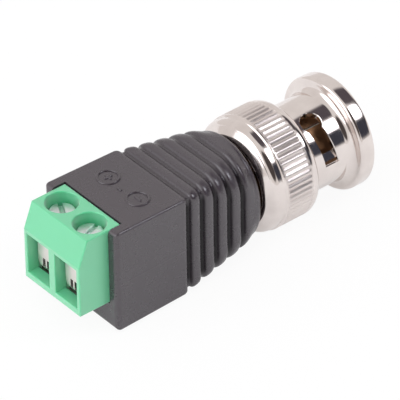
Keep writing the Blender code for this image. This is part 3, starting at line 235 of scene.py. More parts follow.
def turned(outline, steps, depth=None):
    """A closed (x, r) outline turned once round the axis: (x, -r cos a, r sin a). depth(x, a) is taken off
    each radius that is larger than the nut's sleeve."""
    outline = np.asarray(outline, float)
    angle = np.arange(steps) * 2 * np.pi / steps
    x = np.repeat(outline[:, :1], steps, 1)
    radius = np.repeat(outline[:, 1:], steps, 1)
    if depth is not None:
        radius = radius - depth(x, angle[None, :]) * (radius > SLEEVE_RADIUS)
    return skin(np.stack([x, -radius * np.cos(angle), radius * np.sin(angle)], -1), close_rows=True)


def turned_solid(outline, steps):
    """An open (x, r) outline that starts and ends on the axis, turned once round it."""
    outline = np.asarray(outline, float)
    angle = np.arange(steps) * 2 * np.pi / steps
    x = np.repeat(outline[:, :1], steps, 1)
    radius = outline[:, 1:]
    return skin(np.stack([x, -radius * np.cos(angle), radius * np.sin(angle)], -1))


def upright(shape, x, y):
    """A shape turned so that its axis stands along Z at (x, y)."""
    points, faces = shape
    return np.stack([x + points[:, 2], y + points[:, 1], points[:, 0]], 1), faces


def rounded_outline(corners, radius, inset, steps=5):
    """A closed outline drawn in by inset, its corners rounded: each corner moves along both its edges'
    normals, and an arc between the edges' tangent points replaces it, wider by the inset where the outline
    bends inwards."""
    least_radius = 0.002
    corners = np.asarray(corners, float)
    ahead = np.roll(corners, -1, 0) - corners
    ahead /= np.linalg.norm(ahead, axis=1)[:, None]
    behind = np.roll(ahead, 1, 0)
    inward = np.stack([-ahead[:, 1], ahead[:, 0]], 1)
    inward_behind = np.roll(inward, 1, 0)
    bend = behind[:, 0] * ahead[:, 1] - behind[:, 1] * ahead[:, 0]
    half = np.arctan2(bend, (behind * ahead).sum(1)) / 2
    bisector = (inward + inward_behind) / (2 * np.cos(half) ** 2)[:, None]
    size = np.maximum(np.where(bend > 0, radius - inset, radius + inset), least_radius) * np.sign(bend)
    centre = corners + bisector * (inset + size)[:, None]
    share = np.linspace(0, 1, steps + 1)[None, :]
    start = np.arctan2(-inward_behind[:, 1], -inward_behind[:, 0])[:, None]
    angle = start + 2 * half[:, None] * share
    arcs = centre[:, None] + size[:, None, None] * np.stack([np.cos(angle), np.sin(angle)], -1)
    return arcs.reshape(-1, 2)


def extruded(outline_at, stations, axis):
    """Rings of a flat outline carried along an axis: outline_at(inset) gives the ring at each
    (place, inset)."""
    return skin(np.array([np.insert(outline_at(inset), axis, place, axis=1) for place, inset in stations]))


def edge_stations(low, high, radius, steps=5):
    """Places and insets for a bar whose two ends are rounded: the inset follows a quarter circle."""
    angle = np.linspace(0, np.pi / 2, steps + 1)
    start = np.stack([low + radius * (1 - np.cos(angle)), radius * (1 - np.sin(angle))], 1)
    end = np.stack([high - radius * (1 - np.cos(angle)), radius * (1 - np.sin(angle))], 1)[::-1]
    return np.vstack([start, end])


def bar(low, high, axis=0, flare=0.0):
    """A block between two corners. With a flare, its low end along the axis is wider by that much, and
    narrows over the same length."""
    low, high = np.array(low, float), np.array(high, float)
    others = [i for i in range(3) if i != axis]
    signs = np.array([(-1, -1), (1, -1), (1, 1), (-1, 1)])
    middle, half = (low + high) / 2, (high - low) / 2
    stations = [(low[axis], flare), (high[axis], 0.0)]
    if flare:
        stations.insert(1, (low[axis] + flare, 0.0))
    rings = np.zeros((len(stations), 4, 3))
    for row, (place, wider) in enumerate(stations):
        rings[row][:, others] = middle[others] + signs * (half[others] + wider)
        rings[row][:, axis] = place
    return skin(rings)


def set_in_place(points):
    """Millimetres from the housing's back face to metres in the shared frame."""
    return (np.asarray(points, float) - (ORIGIN_X, 0.0, 0.0)) * MM


def raw_object(name, shape):
    """A mesh object of one closed shell, its doubles merged and its faces turned outwards."""
    points, faces = shape
    merge_distance = 1e-7
    mesh = bpy.data.meshes.new(name)
    mesh.from_pydata(set_in_place(points).tolist(), [], faces)
    bm = bmesh.new()
    bm.from_mesh(mesh)
    bmesh.ops.remove_doubles(bm, verts=bm.verts, dist=merge_distance)
    bmesh.ops.dissolve_degenerate(bm, dist=merge_distance, edges=bm.edges)
    bmesh.ops.recalc_face_normals(bm, faces=bm.faces)
    bm.to_mesh(mesh)
    bm.free()
    made = bpy.data.objects.new(name, mesh)
    bpy.context.scene.collection.objects.link(made)
    return made


def finished_mesh(thing):
    """The object's mesh with its modifiers worked out."""
    bpy.context.view_layer.update()
    return bpy.data.meshes.new_from_object(thing.evaluated_get(bpy.context.evaluated_depsgraph_get()))


def cut_away(thing, cutters):
    """Takes closed shells away from an object, one after another."""
    tools = [raw_object(f"{thing.name}_cutter", shape) for shape in cutters]
    for tool in tools:
        boolean = thing.modifiers.new("cut", "BOOLEAN")
        boolean.operation = "DIFFERENCE"
        boolean.solver = "MANIFOLD"
        boolean.object = tool
    mesh = finished_mesh(thing)
    thing.modifiers.clear()
    thing.data = mesh
    for tool in tools:
        bpy.data.objects.remove(tool)


def piece(name, shape, material, node, body=BODY, cutters=(), more=(), sharp=35, even=False):
    """A finished piece that stands for a CAD node. Shells in more are joined on. Edges over sharp degrees
    stay crisp. Even weights the normals by face size, so that flats stay flat beside their rounded
    edges."""
    made = raw_object(name, shape)
    if cutters:
        cut_away(made, cutters)
    if more:
        bm = bmesh.new()
        bm.from_mesh(made.data)
        for shell in more:
            part = raw_object("part", shell)
            bm.from_mesh(part.data)
            bpy.data.objects.remove(part)
        bm.to_mesh(made.data)
        bm.free()
    mesh = made.data
    mesh.name = name
    mesh.shade_smooth()
    mesh.set_sharp_from_angle(angle=math.radians(sharp))
    if even:
        weighted = made.modifiers.new("even_normals", "WEIGHTED_NORMAL")
        weighted.keep_sharp = True
        mesh = finished_mesh(made)
        made.modifiers.clear()
        made.data = mesh
    mesh.materials.clear()
    mesh.materials.append(material)
    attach(made, body)
    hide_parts(node)
    return made


# Finishes


def linear(hex_colour):
    """Linear red, green, blue and alpha of an sRGB hex value."""
    value = np.array([int(hex_colour[i : i + 2], 16) for i in (1, 3, 5)]) / 255
    made = np.where(value <= 0.04045, value / 12.92, ((value + 0.055) / 1.055) ** 2.4)
    return (*made.tolist(), 1.0)


def add_node(tree, kind, inputs=None, **settings):
    """Adds a node. Settings are its own properties, and inputs give each socket a value or the socket that
    feeds it."""
    node = tree.nodes.new(kind)
    for name, value in settings.items():
        setattr(node, name, value)
    for name, value in (inputs or {}).items():
        socket = node.inputs[name]
        if isinstance(value, bpy.types.NodeSocket):
            tree.links.new(value, socket)
        else:
            socket.default_value = value
    return node


def new_finish(name):
    """An empty material and its tree, with the shader, the output and Object coordinates."""
    material = bpy.data.materials.new(name)
    material.use_nodes = True
    tree = material.node_tree
    tree.nodes.clear()
    shader = add_node(tree, "ShaderNodeBsdfPrincipled")
    add_node(tree, "ShaderNodeOutputMaterial", {"Surface": shader.outputs[0]})
    place = add_node(tree, "ShaderNodeTexCoord").outputs["Object"]
    return material, tree, shader, place


def noise(tree, place, size_mm, detail=3.0, stretch=(1.0, 1.0, 1.0)):
    """Soft random grain of a size in millimetres. Stretch is the share of that fineness left along each
    axis."""
    mapped = add_node(tree, "ShaderNodeMapping", {"Vector": place, "Scale": stretch})
    return add_node(
        tree,
        "ShaderNodeTexNoise",
        {"Vector": mapped.outputs[0], "Scale": 1 / (size_mm * MM), "Detail": detail},
    ).outputs["Fac"]


def spread(tree, value, low, high):
    """Maps a noise value, which mostly lies between 0.3 and 0.7, onto a range."""
    return add_node(
        tree,
        "ShaderNodeMapRange",
        {"Value": value, "From Min": 0.3, "From Max": 0.7, "To Min": low, "To Max": high},
    ).outputs[0]


def two_tones(tree, share, first, second):
    """Mixes two colours by a share."""
    return add_node(tree, "ShaderNodeMix", {0: share, 6: first, 7: second}, data_type="RGBA").outputs[2]


def add_math(tree, operation, *values):
    """Works out numbers along the surface from values and sockets."""
    return add_node(tree, "ShaderNodeMath", dict(enumerate(values)), operation=operation).outputs[0]


def roughened(tree, place, shader, grain_mm, grain_depth_mm, detail, stretch=(1.0, 1.0, 1.0)):
    """Lifts a fine grain out of the surface, of a size and a depth in millimetres."""
    height = noise(tree, place, grain_mm, detail, stretch)
    settings = {"Height": height, "Strength": 1.0, "Distance": grain_depth_mm * MM}
    tree.links.new(add_node(tree, "ShaderNodeBump", settings).outputs[0], shader.inputs["Normal"])


def groove_shade_share(tree, place):
    """Share of painted shade in the housing's ring grooves: 1 in the grooves and 0 on the ribs, by the
    distance to the nearest groove, softly stepped, and less where the grooves run shallow over the top and
    bottom."""
    groove_edge, groove_bed = 0.62 * MM, 0.08 * MM
    shallow_from, deep_from, shallow_share = 6.2 * MM, 5.0 * MM, 0.2
    middle = (GROOVES - 1) / 2 * GROOVE_STEP
    reach = middle + 0.3 * GROOVE_STEP
    spot = add_node(tree, "ShaderNodeSeparateXYZ", {"Vector": place})
    along = add_math(tree, "SUBTRACT", spot.outputs["X"], (GROOVE_START - ORIGIN_X) * MM)
    near = add_node(
        tree,
        "ShaderNodeMapRange",
        {
            "Value": add_math(tree, "PINGPONG", along, GROOVE_STEP / 2 * MM),
            "From Min": groove_edge,
            "From Max": groove_bed,
        },
        interpolation_type="SMOOTHSTEP",
    ).outputs[0]
    ribbed = add_math(tree, "COMPARE", along, middle * MM, reach * MM)
    beside = add_node(
        tree,
        "ShaderNodeMapRange",
        {
            "Value": add_math(tree, "ABSOLUTE", spot.outputs["Z"]),
            "From Min": shallow_from,
            "From Max": deep_from,
            "To Min": shallow_share,
        },
    ).outputs[0]
    return add_math(tree, "MULTIPLY", add_math(tree, "MULTIPLY", near, ribbed), beside)


def moulded(
    name,
    base,
    tint,
    roughness,
    grain_mm,
    grain_depth_mm,
    glow=0.0,
    glow_depth_mm=0.5,
    shine=0.5,
    groove_shade=None,
    milky=0.0,
):
    """Moulded plastic: cloudy tone from the melt's flow, a fine spark-eroded grain, and a roughness that
    varies. Glow is light that scatters below the surface, shine the strength of highlights, and milky a
    pale glossy skin. A groove shade tone is painted shade: the ring grooves are darkened towards it, and
    they shine less there too."""
    cloud_mm, rub_mm, rub_range = 5.0, 1.6, 0.05
    milky_sheen, milky_softness = 0.5, 0.6
    groove_dulling = 0.75
    material, tree, shader, place = new_finish(name)
    shader.inputs["Specular IOR Level"].default_value = shine
    shader.inputs["Coat Weight"].default_value = milky
    shader.inputs["Coat Roughness"].default_value = roughness
    shader.inputs["Sheen Weight"].default_value = milky * milky_sheen
    shader.inputs["Sheen Roughness"].default_value = milky_softness
    tone = two_tones(tree, noise(tree, place, cloud_mm, 2.0), linear(base), linear(tint))
    if groove_shade:
        # Painted shade: the ring grooves' tone is mixed towards a deep black and their highlights are dulled
        share = groove_shade_share(tree, place)
        tone = two_tones(tree, share, tone, linear(groove_shade))
        dulled = add_math(tree, "MULTIPLY_ADD", share, -groove_dulling * shine, shine)
        tree.links.new(dulled, shader.inputs["Specular IOR Level"])
    tree.links.new(tone, shader.inputs["Base Color"])
    rub = spread(tree, noise(tree, place, rub_mm), roughness - rub_range, roughness + rub_range)
    tree.links.new(rub, shader.inputs["Roughness"])
    roughened(tree, place, shader, grain_mm, grain_depth_mm, 4.0)
    if glow:
        shader.inputs["Subsurface Weight"].default_value = glow
        shader.inputs["Subsurface Radius"].default_value = (0.35, 1.0, 0.55)
        shader.inputs["Subsurface Scale"].default_value = glow_depth_mm * MM
    return material


def metal(name, bright, dull, roughness, line_mm, line_depth_mm, stretch, matt_band=None):
    """Plated or plain metal: a bright tone that dulls in patches, and fine lines from turning, rolling or
    drawing. A matt band (start, end, roughness added) along the axis is where a knurling tool left the
    surface rougher."""
    patch_mm, rub_mm = 2.5, 0.9
    material, tree, shader, place = new_finish(name)
    shader.inputs["Metallic"].default_value = 1.0
    patch = spread(tree, noise(tree, place, patch_mm), 0.0, 1.0)
    tree.links.new(two_tones(tree, patch, linear(bright), linear(dull)), shader.inputs["Base Color"])
    rub = spread(tree, noise(tree, place, rub_mm), roughness * 0.8, roughness * 1.25)
    if matt_band:
        start, end, added = matt_band
        along = add_node(tree, "ShaderNodeSeparateXYZ", {"Vector": place}).outputs["X"]
        middle, half = ((start + end) / 2 - ORIGIN_X) * MM, (end - start) / 2 * MM
        rub = add_math(tree, "MULTIPLY_ADD", add_math(tree, "COMPARE", along, middle, half), added, rub)
    tree.links.new(rub, shader.inputs["Roughness"])
    roughened(tree, place, shader, line_mm, line_depth_mm, 2.0, stretch)
    return material


# Which way a metal's fine lines run: along the axis whose share is small, the grain is drawn out
ROUND_THE_AXIS = (1.0, 0.03, 0.03)
UP_AND_DOWN = (1.0, 1.0, 0.06)
ALONG_THE_AXIS = (0.1, 1.0, 1.0)

# ABS, injection moulded: a warm black whose ribs shine grey, with painted shade turning the ring grooves deep
# black
black_moulding = moulded(
    "abs_black_moulded", "#342D34", "#3B343B", 0.28, 0.22, 0.005, shine=1.0, groove_shade="#120E12"
)
# Polyamide 66, injection moulded: a full green under a pale milky skin, which glows a little at thin walls
green_polyamide = moulded(
    "polyamide_green_moulded",
    "#2FBC7F",
    "#39C287",
    0.42,
    0.30,
    0.003,
    glow=0.2,
    glow_depth_mm=0.6,
    shine=1.0,
    milky=1.0,
)
# Acetal, turned: matt white
white_dielectric = moulded("acetal_white_turned", "#E6E4DF", "#EFEDE8", 0.45, 0.15, 0.003, glow=0.2)
# Nitrile rubber, moulded: deep matt black
black_rubber = moulded("nitrile_rubber_black", "#181818", "#202020", 0.75, 0.2, 0.005)
# Silicone sleeving, extruded: satin red
red_sleeve = moulded("silicone_sleeve_red", "#AD2421", "#B93430", 0.5, 0.3, 0.004)
# Brass, turned and nickel plated: bright and slightly warm, with fine rings from the lathe
nickel_plate = metal("nickel_plated_brass", "#E6DEDA", "#DCD3CF", 0.10, 0.16, 0.0006, ROUND_THE_AXIS)
# The same on the nut, matt where the knurl was rolled in
nickel_knurled = metal(
    "nickel_plated_brass_knurled",
    "#E6DEDA",
    "#DCD3CF",
    0.10,
    0.16,
    0.0006,
    ROUND_THE_AXIS,
    matt_band=(KNURL_BACK - 0.15, KNURL_FRONT + 0.1, 0.27),
)
# Phosphor bronze, turned and left bare: brown gold, slightly dull
phosphor_bronze = metal("phosphor_bronze_bare", "#9A7657", "#7A5C44", 0.42, 0.2, 0.0008, ROUND_THE_AXIS)
# Brass, stamped and tin plated: pale grey and milky
tinned_brass = metal("brass_tin_plated", "#D2CCC8", "#BDB6B1", 0.36, 0.25, 0.001, UP_AND_DOWN)
# Steel, zinc plated and passivated: bright and nearly white
zinc_plate = metal("steel_zinc_plated", "#F4F4F6", "#E6E7EA", 0.36, 0.15, 0.0015, UP_AND_DOWN)
# Carbon steel washers, ground and oiled: a darker grey, with rings
spring_steel = metal("spring_steel_oiled", "#B4B2B0", "#9C9A98", 0.28, 0.2, 0.001, ROUND_THE_AXIS)
# Brass, turned and gold plated, on the pin: a bright warm yellow
gold_plate = metal("brass_gold_plated", "#EBC677", "#DDB363", 0.2, 0.15, 0.0005, ROUND_THE_AXIS)
# Copper wire, drawn and tinned: grey, with lines along it
tinned_copper = metal("copper_wire_tinned", "#D0C8C0", "#B8AEA4", 0.32, 0.3, 0.002, ALONG_THE_AXIS)
# Brass leaf, tin plated and pressed: pale with a warm cast
tinned_leaf = metal("brass_leaf_tinned", "#F2EAE8", "#E8DFDD", 0.40, 0.2, 0.001, UP_AND_DOWN)

SLOT_FINISHES = {
    "black_moulding": black_moulding,
    "green_polyamide": green_polyamide,
    "tinned_brass": tinned_brass,
    "zinc_plated_steel": zinc_plate,
    "tinned_leaf": tinned_leaf,
    "nickel_plate": nickel_plate,
    "phosphor_bronze": phosphor_bronze,
    "white_dielectric": white_dielectric,
    "gold_plate": gold_plate,
    "spring_steel": spring_steel,
    "black_rubber": black_rubber,
    "tinned_copper": tinned_copper,
    "red_sleeve": red_sleeve,
}


def finish_the_nodes():
    """Gives each CAD node the finish of its slot."""
    for row in frame["record"]["subparts"]:
        node = frame["nodes"][row["node"]]
        node.data.materials.clear()
        node.data.materials.append(SLOT_FINISHES[row["material_slot"]])


# Coupling nut


def nut_outline():
    """The nut's section: chamfered back, a rounded plain band, a step, the knurl, a rounded shoulder, thin
    sleeve, fillet, rim, bore and flange."""
    fall = GRIP_RADIUS - SLEEVE_RADIUS
    convex, hollow = 0.7 * fall, 0.3 * fall
    band_x, band_r, band_radius = 23.863, 5.98, 1.1
    rim_back = NUT_FRONT - RIM_LENGTH
    run = np.array([0.0, 0.35, 0.7, 1.0]) * KNURL_RUN_OUT
    knurl = np.concatenate([KNURL_BACK + run, KNURL_FRONT - run[::-1]])
    parts = [
        [(NUT_BACK, 5.7), (NUT_BACK + 0.05, 5.8), (22.42, 5.893), (22.93, 6.57), (22.985, 6.642)],
        arc(band_x, band_r, band_radius, band_radius, 1.588, 1.0, 14),
        [(23.93, 7.08), (24.3, 7.08), (24.35, 7.085), (24.37, 7.1), (24.47, 7.235), (24.5, GRIP_RADIUS)],
        np.stack([knurl, np.full(len(knurl), GRIP_RADIUS)], 1),
        arc(28.7, GRIP_RADIUS - convex, 1.12, convex, 1, 0, 12),
        arc(30.3, SLEEVE_RADIUS + hollow, 0.48, hollow, 2, 3, 8),
        arc(rim_back - RIM_FILLET, SLEEVE_RADIUS + RIM_FILLET, RIM_FILLET, RIM_FILLET, 3, 4, 10),
        arc(rim_back + RIM_EDGE, RIM_RADIUS - RIM_EDGE, RIM_EDGE, RIM_EDGE, 2, 1, 7),
        arc(NUT_FRONT - RIM_EDGE, RIM_RADIUS - RIM_EDGE, RIM_EDGE, RIM_EDGE, 1, 0, 7),
        arc(NUT_FRONT - BORE_EDGE, BORE_RADIUS + BORE_EDGE, BORE_EDGE, BORE_EDGE, 0, -1, 4),
        [(FLANGE_FRONT, BORE_RADIUS), (FLANGE_FRONT, FLANGE_BORE), (FLANGE_BACK, FLANGE_BORE)],
        [(FLANGE_BACK, RECESS_RADIUS), (NUT_BACK, RECESS_RADIUS)],
    ]
    return np.vstack([np.asarray(part, float) for part in parts])


def knurl_depth(x, angle):
    """Straight knurl: a triangle wave whose flanks slope by 24 degrees, run out at both ends of the
    band."""
    flank_share = 0.42
    phase = (angle * KNURL_TEETH / (2 * np.pi)) % 1
    groove = np.clip(1 - np.abs(phase - 0.5) / flank_share, 0, 1)
    inside = np.clip(np.minimum(x - KNURL_BACK, KNURL_FRONT - x) / KNURL_RUN_OUT, 0, 1)
    return KNURL_DEPTH * groove * np.sin(inside * np.pi / 2)


def cam_path(angle, x, half_width, levels, floor=0.0):
    """A cutter that follows a path round the nut. Levels are (radius, extra half width) from the inside
    out, and floor is the least radius it cuts at each place of the path."""
    radius, wider = np.array(levels, float).T
    side = np.concatenate([half_width + wider, -(half_width + wider)[::-1]])
    reach = np.maximum(np.concatenate([radius, radius[::-1]])[None, :], np.reshape(floor, (-1, 1)))
    along = x[:, None] + side[None, :]
    across = angle[:, None]
    return skin(np.stack([along, -reach * np.cos(across), reach * np.sin(across)], -1))


def cam_hole(angle, x, radius, levels):
    """A round cutter through the sleeve: circles of a growing radius, laid on the sleeve's curve."""
    turn = np.linspace(0, 2 * np.pi, 48, endpoint=False)[None, :]
    reach, wider = np.array(levels, float).T[:, :, None]
    size = radius + wider
    across = angle + size * np.sin(turn) / SLEEVE_RADIUS
    along = x + size * np.cos(turn)
    return skin(np.stack([along, -reach * np.cos(across), reach * np.sin(across)], -1))


def cam_cutters(turn):
    """One bayonet cam: detent hole, open slot with a sloped end, ramp hidden in the wall, and its way in
    through the mouth. The ramp's place along the axis follows half a cosine wave."""
    inside, outside = 4.4, 6.6
    through = [
        (inside, 0.0),
        (SLEEVE_RADIUS - EDGE_BREAK, 0.0),
        (SLEEVE_RADIUS + 0.02, EDGE_BREAK),
        (outside, EDGE_BREAK),
    ]
    slot_angle = np.linspace(DETENT_ANGLE, SLOT_END_ANGLE, 32)
    slot_x = np.linspace(SLOT_BACK_X, SLOT_FRONT_X, 32)
    slot_floor = np.interp(slot_angle, [SLOT_END_ANGLE, 20.0, 22.0], [5.38, 4.9, inside])
    ramp_share = np.linspace(0, 1, 24)
    ramp_angle = RAMP_START_ANGLE - RAMP_SWEEP * ramp_share
    ramp_x = SLOT_FRONT_X - 0.05 + RAMP_RUN * (1 - np.cos(np.pi * ramp_share)) / 2
    entry_angle = np.linspace(*ENTRY_ANGLES, 8)
    entry_x = np.full(8, NUT_FRONT + 0.01)
    entry_levels = [(4.3, 0.0), (ENTRY_RADIUS, 0.0)]
    return [
        cam_path(np.radians(slot_angle) + turn, slot_x, SLOT_HALF_WIDTH, through, slot_floor),
        cam_hole(np.radians(DETENT_ANGLE) + turn, DETENT_X, DETENT_RADIUS, through),
        cam_path(np.radians(ramp_angle) + turn, ramp_x, RAMP_HALF_WIDTH, [(4.5, 0.0), (RAMP_RADIUS, 0.0)]),
        cam_path(np.radians(entry_angle) + turn, entry_x, ENTRY_HALF_WIDTH, entry_levels),
    ]


def coupling_nut():
    """The bayonet nut, with a cam on each side."""
    piece(
        "bayonet_nut",
        turned(nut_outline(), KNURL_TEETH * STEPS_PER_TOOTH, knurl_depth),
        nickel_knurled,
        "coupling_nut",
        body="coupling_nut",
        cutters=cam_cutters(0.0) + cam_cutters(math.pi),
        sharp=38,
    )


# Moulded housing


def corner_radius(x):
    """Corner radius of the housing's section: small on the square part, then growing almost evenly to 5 mm,
    and on to a near circle at the front edge."""
    share = np.clip((x - SQUARE_END) / (GROWTH_END - SQUARE_END), 0, 1)
    front = np.clip((x - FRONT_GROWTH_START) / (GROWTH_END - FRONT_GROWTH_START), 0, 1)
    return SQUARE_CORNER + CORNER_GROWTH * share**0.95 + FRONT_GROWTH * front**1.5


def draft(x):
    """The square part's taper for leaving its mould: widest at the back, none where the ribs start."""
    return DRAFT * np.clip(1 - x / SQUARE_END, 0, 1)


def groove_middles():
    """Where the ring grooves stand along the axis."""
    return GROOVE_START + GROOVE_STEP * np.arange(GROOVES)


def housing_inset(x):
    """How far the surface lies under the plain sleeve at x: the ring grooves, with rounded ribs between."""
    nearest = np.abs(x[:, None] - groove_middles()).min(1)
    return np.interp(nearest, *GROOVE_SECTION.T)


def housing_stations():
    """(x, inset) from back to front: a quarter circle at the back, a fine set round each groove and a
    quarter ellipse at the front."""
    front_length, front_drop = 0.6, 0.5
    angle = np.linspace(0, np.pi / 2, 9)
    back = np.stack([BACK_EDGE * (1 - np.cos(angle)), BACK_EDGE * (1 - np.sin(angle))], 1)
    front_x = HOUSING_LENGTH - front_length * (1 - np.sin(angle))
    front = np.stack([front_x, front_drop * (1 - np.cos(angle))], 1)
    away = np.concatenate([[0.04], GROOVE_SECTION[1:-1, 0], [0.97]])
    around = np.concatenate([-away[::-1], away])
    x = np.concatenate([[0.75], (groove_middles()[:, None] + around).ravel(), [20.2, 20.5, GROWTH_END]])
    middle = np.stack([x, housing_inset(x)], 1)
    return np.vstack([back, middle, front])


def housing_ring(x, inset):
    """A rounded rectangle across the axis: four arcs, a point just off each arc's ends, and on the two
    sides a slight ridge where the mould's halves meet. The grooves are shallower over the top and
    bottom."""
    corner = max(float(corner_radius(x)) - inset, 0.1)
    share = SHALLOW_SHARE if SQUARE_END < x < GROOVES_END else 1.0
    width, height = HALF_WIDTH + draft(x) - inset, HALF_HEIGHT + draft(x) - inset * share
    angle = np.linspace(0, np.pi / 2, 13)
    arc_y, arc_z = width - corner + corner * np.cos(angle), height - corner + corner * np.sin(angle)
    flat_y, flat_z = (width - corner) * 0.96, (height - corner) * 0.96
    quarter = np.vstack([[(width, flat_z)], np.stack([arc_y, arc_z], 1), [(flat_y, height)]])
    left_top = (quarter * (-1, 1))[::-1]
    left_bottom = quarter * (-1, -1)
    right_bottom = (quarter * (1, -1))[::-1]
    seam = np.array([-0.16, -0.06, 0.0, 0.06, 0.16])
    ridge = PARTING_RIDGE * np.array([0.0, 0.5, 1.0, 0.5, 0.0]) * (inset < 0.3)
    side = width - PARTING_RIDGE + ridge
    left_seam = np.stack([-side, PARTING_Z - seam], 1)
    right_seam = np.stack([side, PARTING_Z + seam], 1)
    ring = np.vstack([right_seam, quarter, left_top, left_seam, left_bottom, right_bottom])
    return np.insert(ring, 0, x, axis=1)


def raised_ring(x, y, radius):
    """A low round-topped ring on the housing's top: half an ellipse carried round a circle."""
    around = np.linspace(0, 2 * np.pi, 64, endpoint=False)[:, None]
    across = np.linspace(0, 2 * np.pi, 12, endpoint=False)[None, :]
    reach = radius + MARK_WIDTH / 2 * np.cos(across)
    along, aside = x + reach * np.cos(around), y + reach * np.sin(around)
    level = np.broadcast_to(HALF_HEIGHT + draft(x) + MARK_HEIGHT * np.sin(across), along.shape)
    return skin(np.stack([along, aside, level], -1), close_rows=True)


def raised_stroke(start, end):
    """A low round-topped stroke on the housing's top: half an ellipse carried along a line, tapered at its
    ends."""
    start, end = np.array(start, float), np.array(end, float)
    ahead = (end - start) / np.linalg.norm(end - start)
    side = np.array([-ahead[1], ahead[0]])
    share = np.linspace(0, 1, 15)
    size = np.sqrt(np.clip(1 - (2 * share - 1) ** 8, 0.0004, 1))[:, None]
    across = np.linspace(0, 2 * np.pi, 12, endpoint=False)[None, :]
    middle = start + (end - start) * share[:, None]
    place = middle[:, None] + side * (MARK_WIDTH / 2 * size * np.cos(across))[..., None]
    level = HALF_HEIGHT + draft(start[0]) + MARK_HEIGHT * size * np.sin(across)
    return skin(np.concatenate([place, level[..., None]], -1))


def polarity_marks():
    """Plus and minus in rings over the poles, with a dash between them."""
    y, half, ring_radius = 2.65, 0.62, 1.28
    marks = [raised_ring(MARK_X, y, ring_radius), raised_ring(MARK_X, -y, ring_radius)]
    marks.append(raised_stroke((MARK_X - half, y), (MARK_X + half, y)))
    marks.append(raised_stroke((MARK_X, y - half), (MARK_X, y + half)))
    marks.append(raised_stroke((MARK_X, -y - half), (MARK_X, -y + half)))
    marks.append(raised_stroke((MARK_X - 0.45, -0.35), (MARK_X - 0.45, 0.45)))
    return marks


def rounded_box_ring(x, half_width, half_height, corner):
    """A plain rounded rectangle across the axis."""
    signs = np.array([(1, -1), (1, 1), (-1, 1), (-1, -1)])
    return np.insert(rounded_outline(signs * (half_width, half_height), corner, 0.0, 6), 0, x, axis=1)


def tail_bore():
    """The bore for the plug body's tail, opened out and chamfered at the housing's front."""
    beyond, flared = 23.0, MOUTH_RADIUS + MOUTH_CHAMFER
    outline = [(TAIL_BORE_BACK, 0.0), (TAIL_BORE_BACK, TAIL_BORE_RADIUS), (MOUTH_BACK, TAIL_BORE_RADIUS)]
    outline += [(MOUTH_BACK, MOUTH_RADIUS), (HOUSING_LENGTH - MOUTH_CHAMFER, MOUTH_RADIUS)]
    outline += [(HOUSING_LENGTH, flared), (beyond, flared), (beyond, 0.0)]
    return turned_solid(outline, 96)


def housing():
    """The moulded sleeve: hollow, bored for the plug and notched for the terminal block."""
    shell = skin(np.array([housing_ring(x, inset) for x, inset in housing_stations()]))
    hollow = (CAVITY_HALF_WIDTH, CAVITY_HALF_HEIGHT, CAVITY_CORNER)
    cavity = skin(np.array([rounded_box_ring(x, *hollow) for x in CAVITY_ENDS]))
    half, floor = BLOCK_HALF_WIDTH + BLOCK_CLEARANCE, BLOCK_FLOOR - BLOCK_CLEARANCE
    notch = bar((-1.0, -half, floor), (TOP_FRONT + BLOCK_CLEARANCE, half, 8.0))
    foot = bar((-2.0, -half, floor), (FOOT_FRONT + BLOCK_CLEARANCE, half, FOOT_TOP + BLOCK_CLEARANCE))
    piece(
        "moulded_sleeve",
        shell,
        black_moulding,
        "housing",
        cutters=[notch, foot, cavity, tail_bore()],
        more=polarity_marks(),
        even=True,
    )


# Terminal block and its clamps


def hole_cutter(x, y):
    """A round hole from the top, its mouth slightly flared."""
    above = 7.6
    flare = [(6.62, 0.0), (6.7, 0.04), (6.77, 0.13), (above, 0.25)]
    outline = [(SCREW_HOLE_BOTTOM, 0.0), (SCREW_HOLE_BOTTOM, SCREW_HOLE_RADIUS)]
    outline += [(level, SCREW_HOLE_RADIUS + wider) for level, wider in flare]
    outline.append((above, 0.0))
    return upright(turned_solid(outline, 64), x, y)


def terminal_block():
    """The block's side outline carried across, with rounded ends; windows, chambers, leaf slots and screw
    holes."""
    body = extruded(
        lambda inset: rounded_outline(BLOCK_OUTLINE, BLOCK_EDGE, inset),
        edge_stations(-BLOCK_HALF_WIDTH, BLOCK_HALF_WIDTH, BLOCK_EDGE),
        1,
    )
    behind, beyond, sliver = BLOCK_FACE - 0.01, 6.0, 0.001
    cutters = []
    for y in POLES.values():
        low, high = y - CELL_HALF_WIDTH, y + CELL_HALF_WIDTH
        leaf_low, leaf_high = y - LEAF_SLOT_HALF_WIDTH, y + LEAF_SLOT_HALF_WIDTH
        cutters += [
            bar((behind, low, WINDOW_SILL), (beyond - 1.0, high, WINDOW_HEAD), flare=WINDOW_FLARE),
            bar((CHAMBER_BACK, low - sliver, CHAMBER_FLOOR), (beyond, high + sliver, CHAMBER_ROOF)),
            bar((LEAF_SLOT_BACK, leaf_low, LEAF_SLOT_FLOOR), (LEAF_SLOT_FRONT, leaf_high, LEAF_SLOT_ROOF)),
            hole_cutter(SCREW_X, y),
        ]
    piece(
        "green_block",
        body,
        green_polyamide,
        "terminal_housing",
        cutters=cutters,
        even=True,
    )


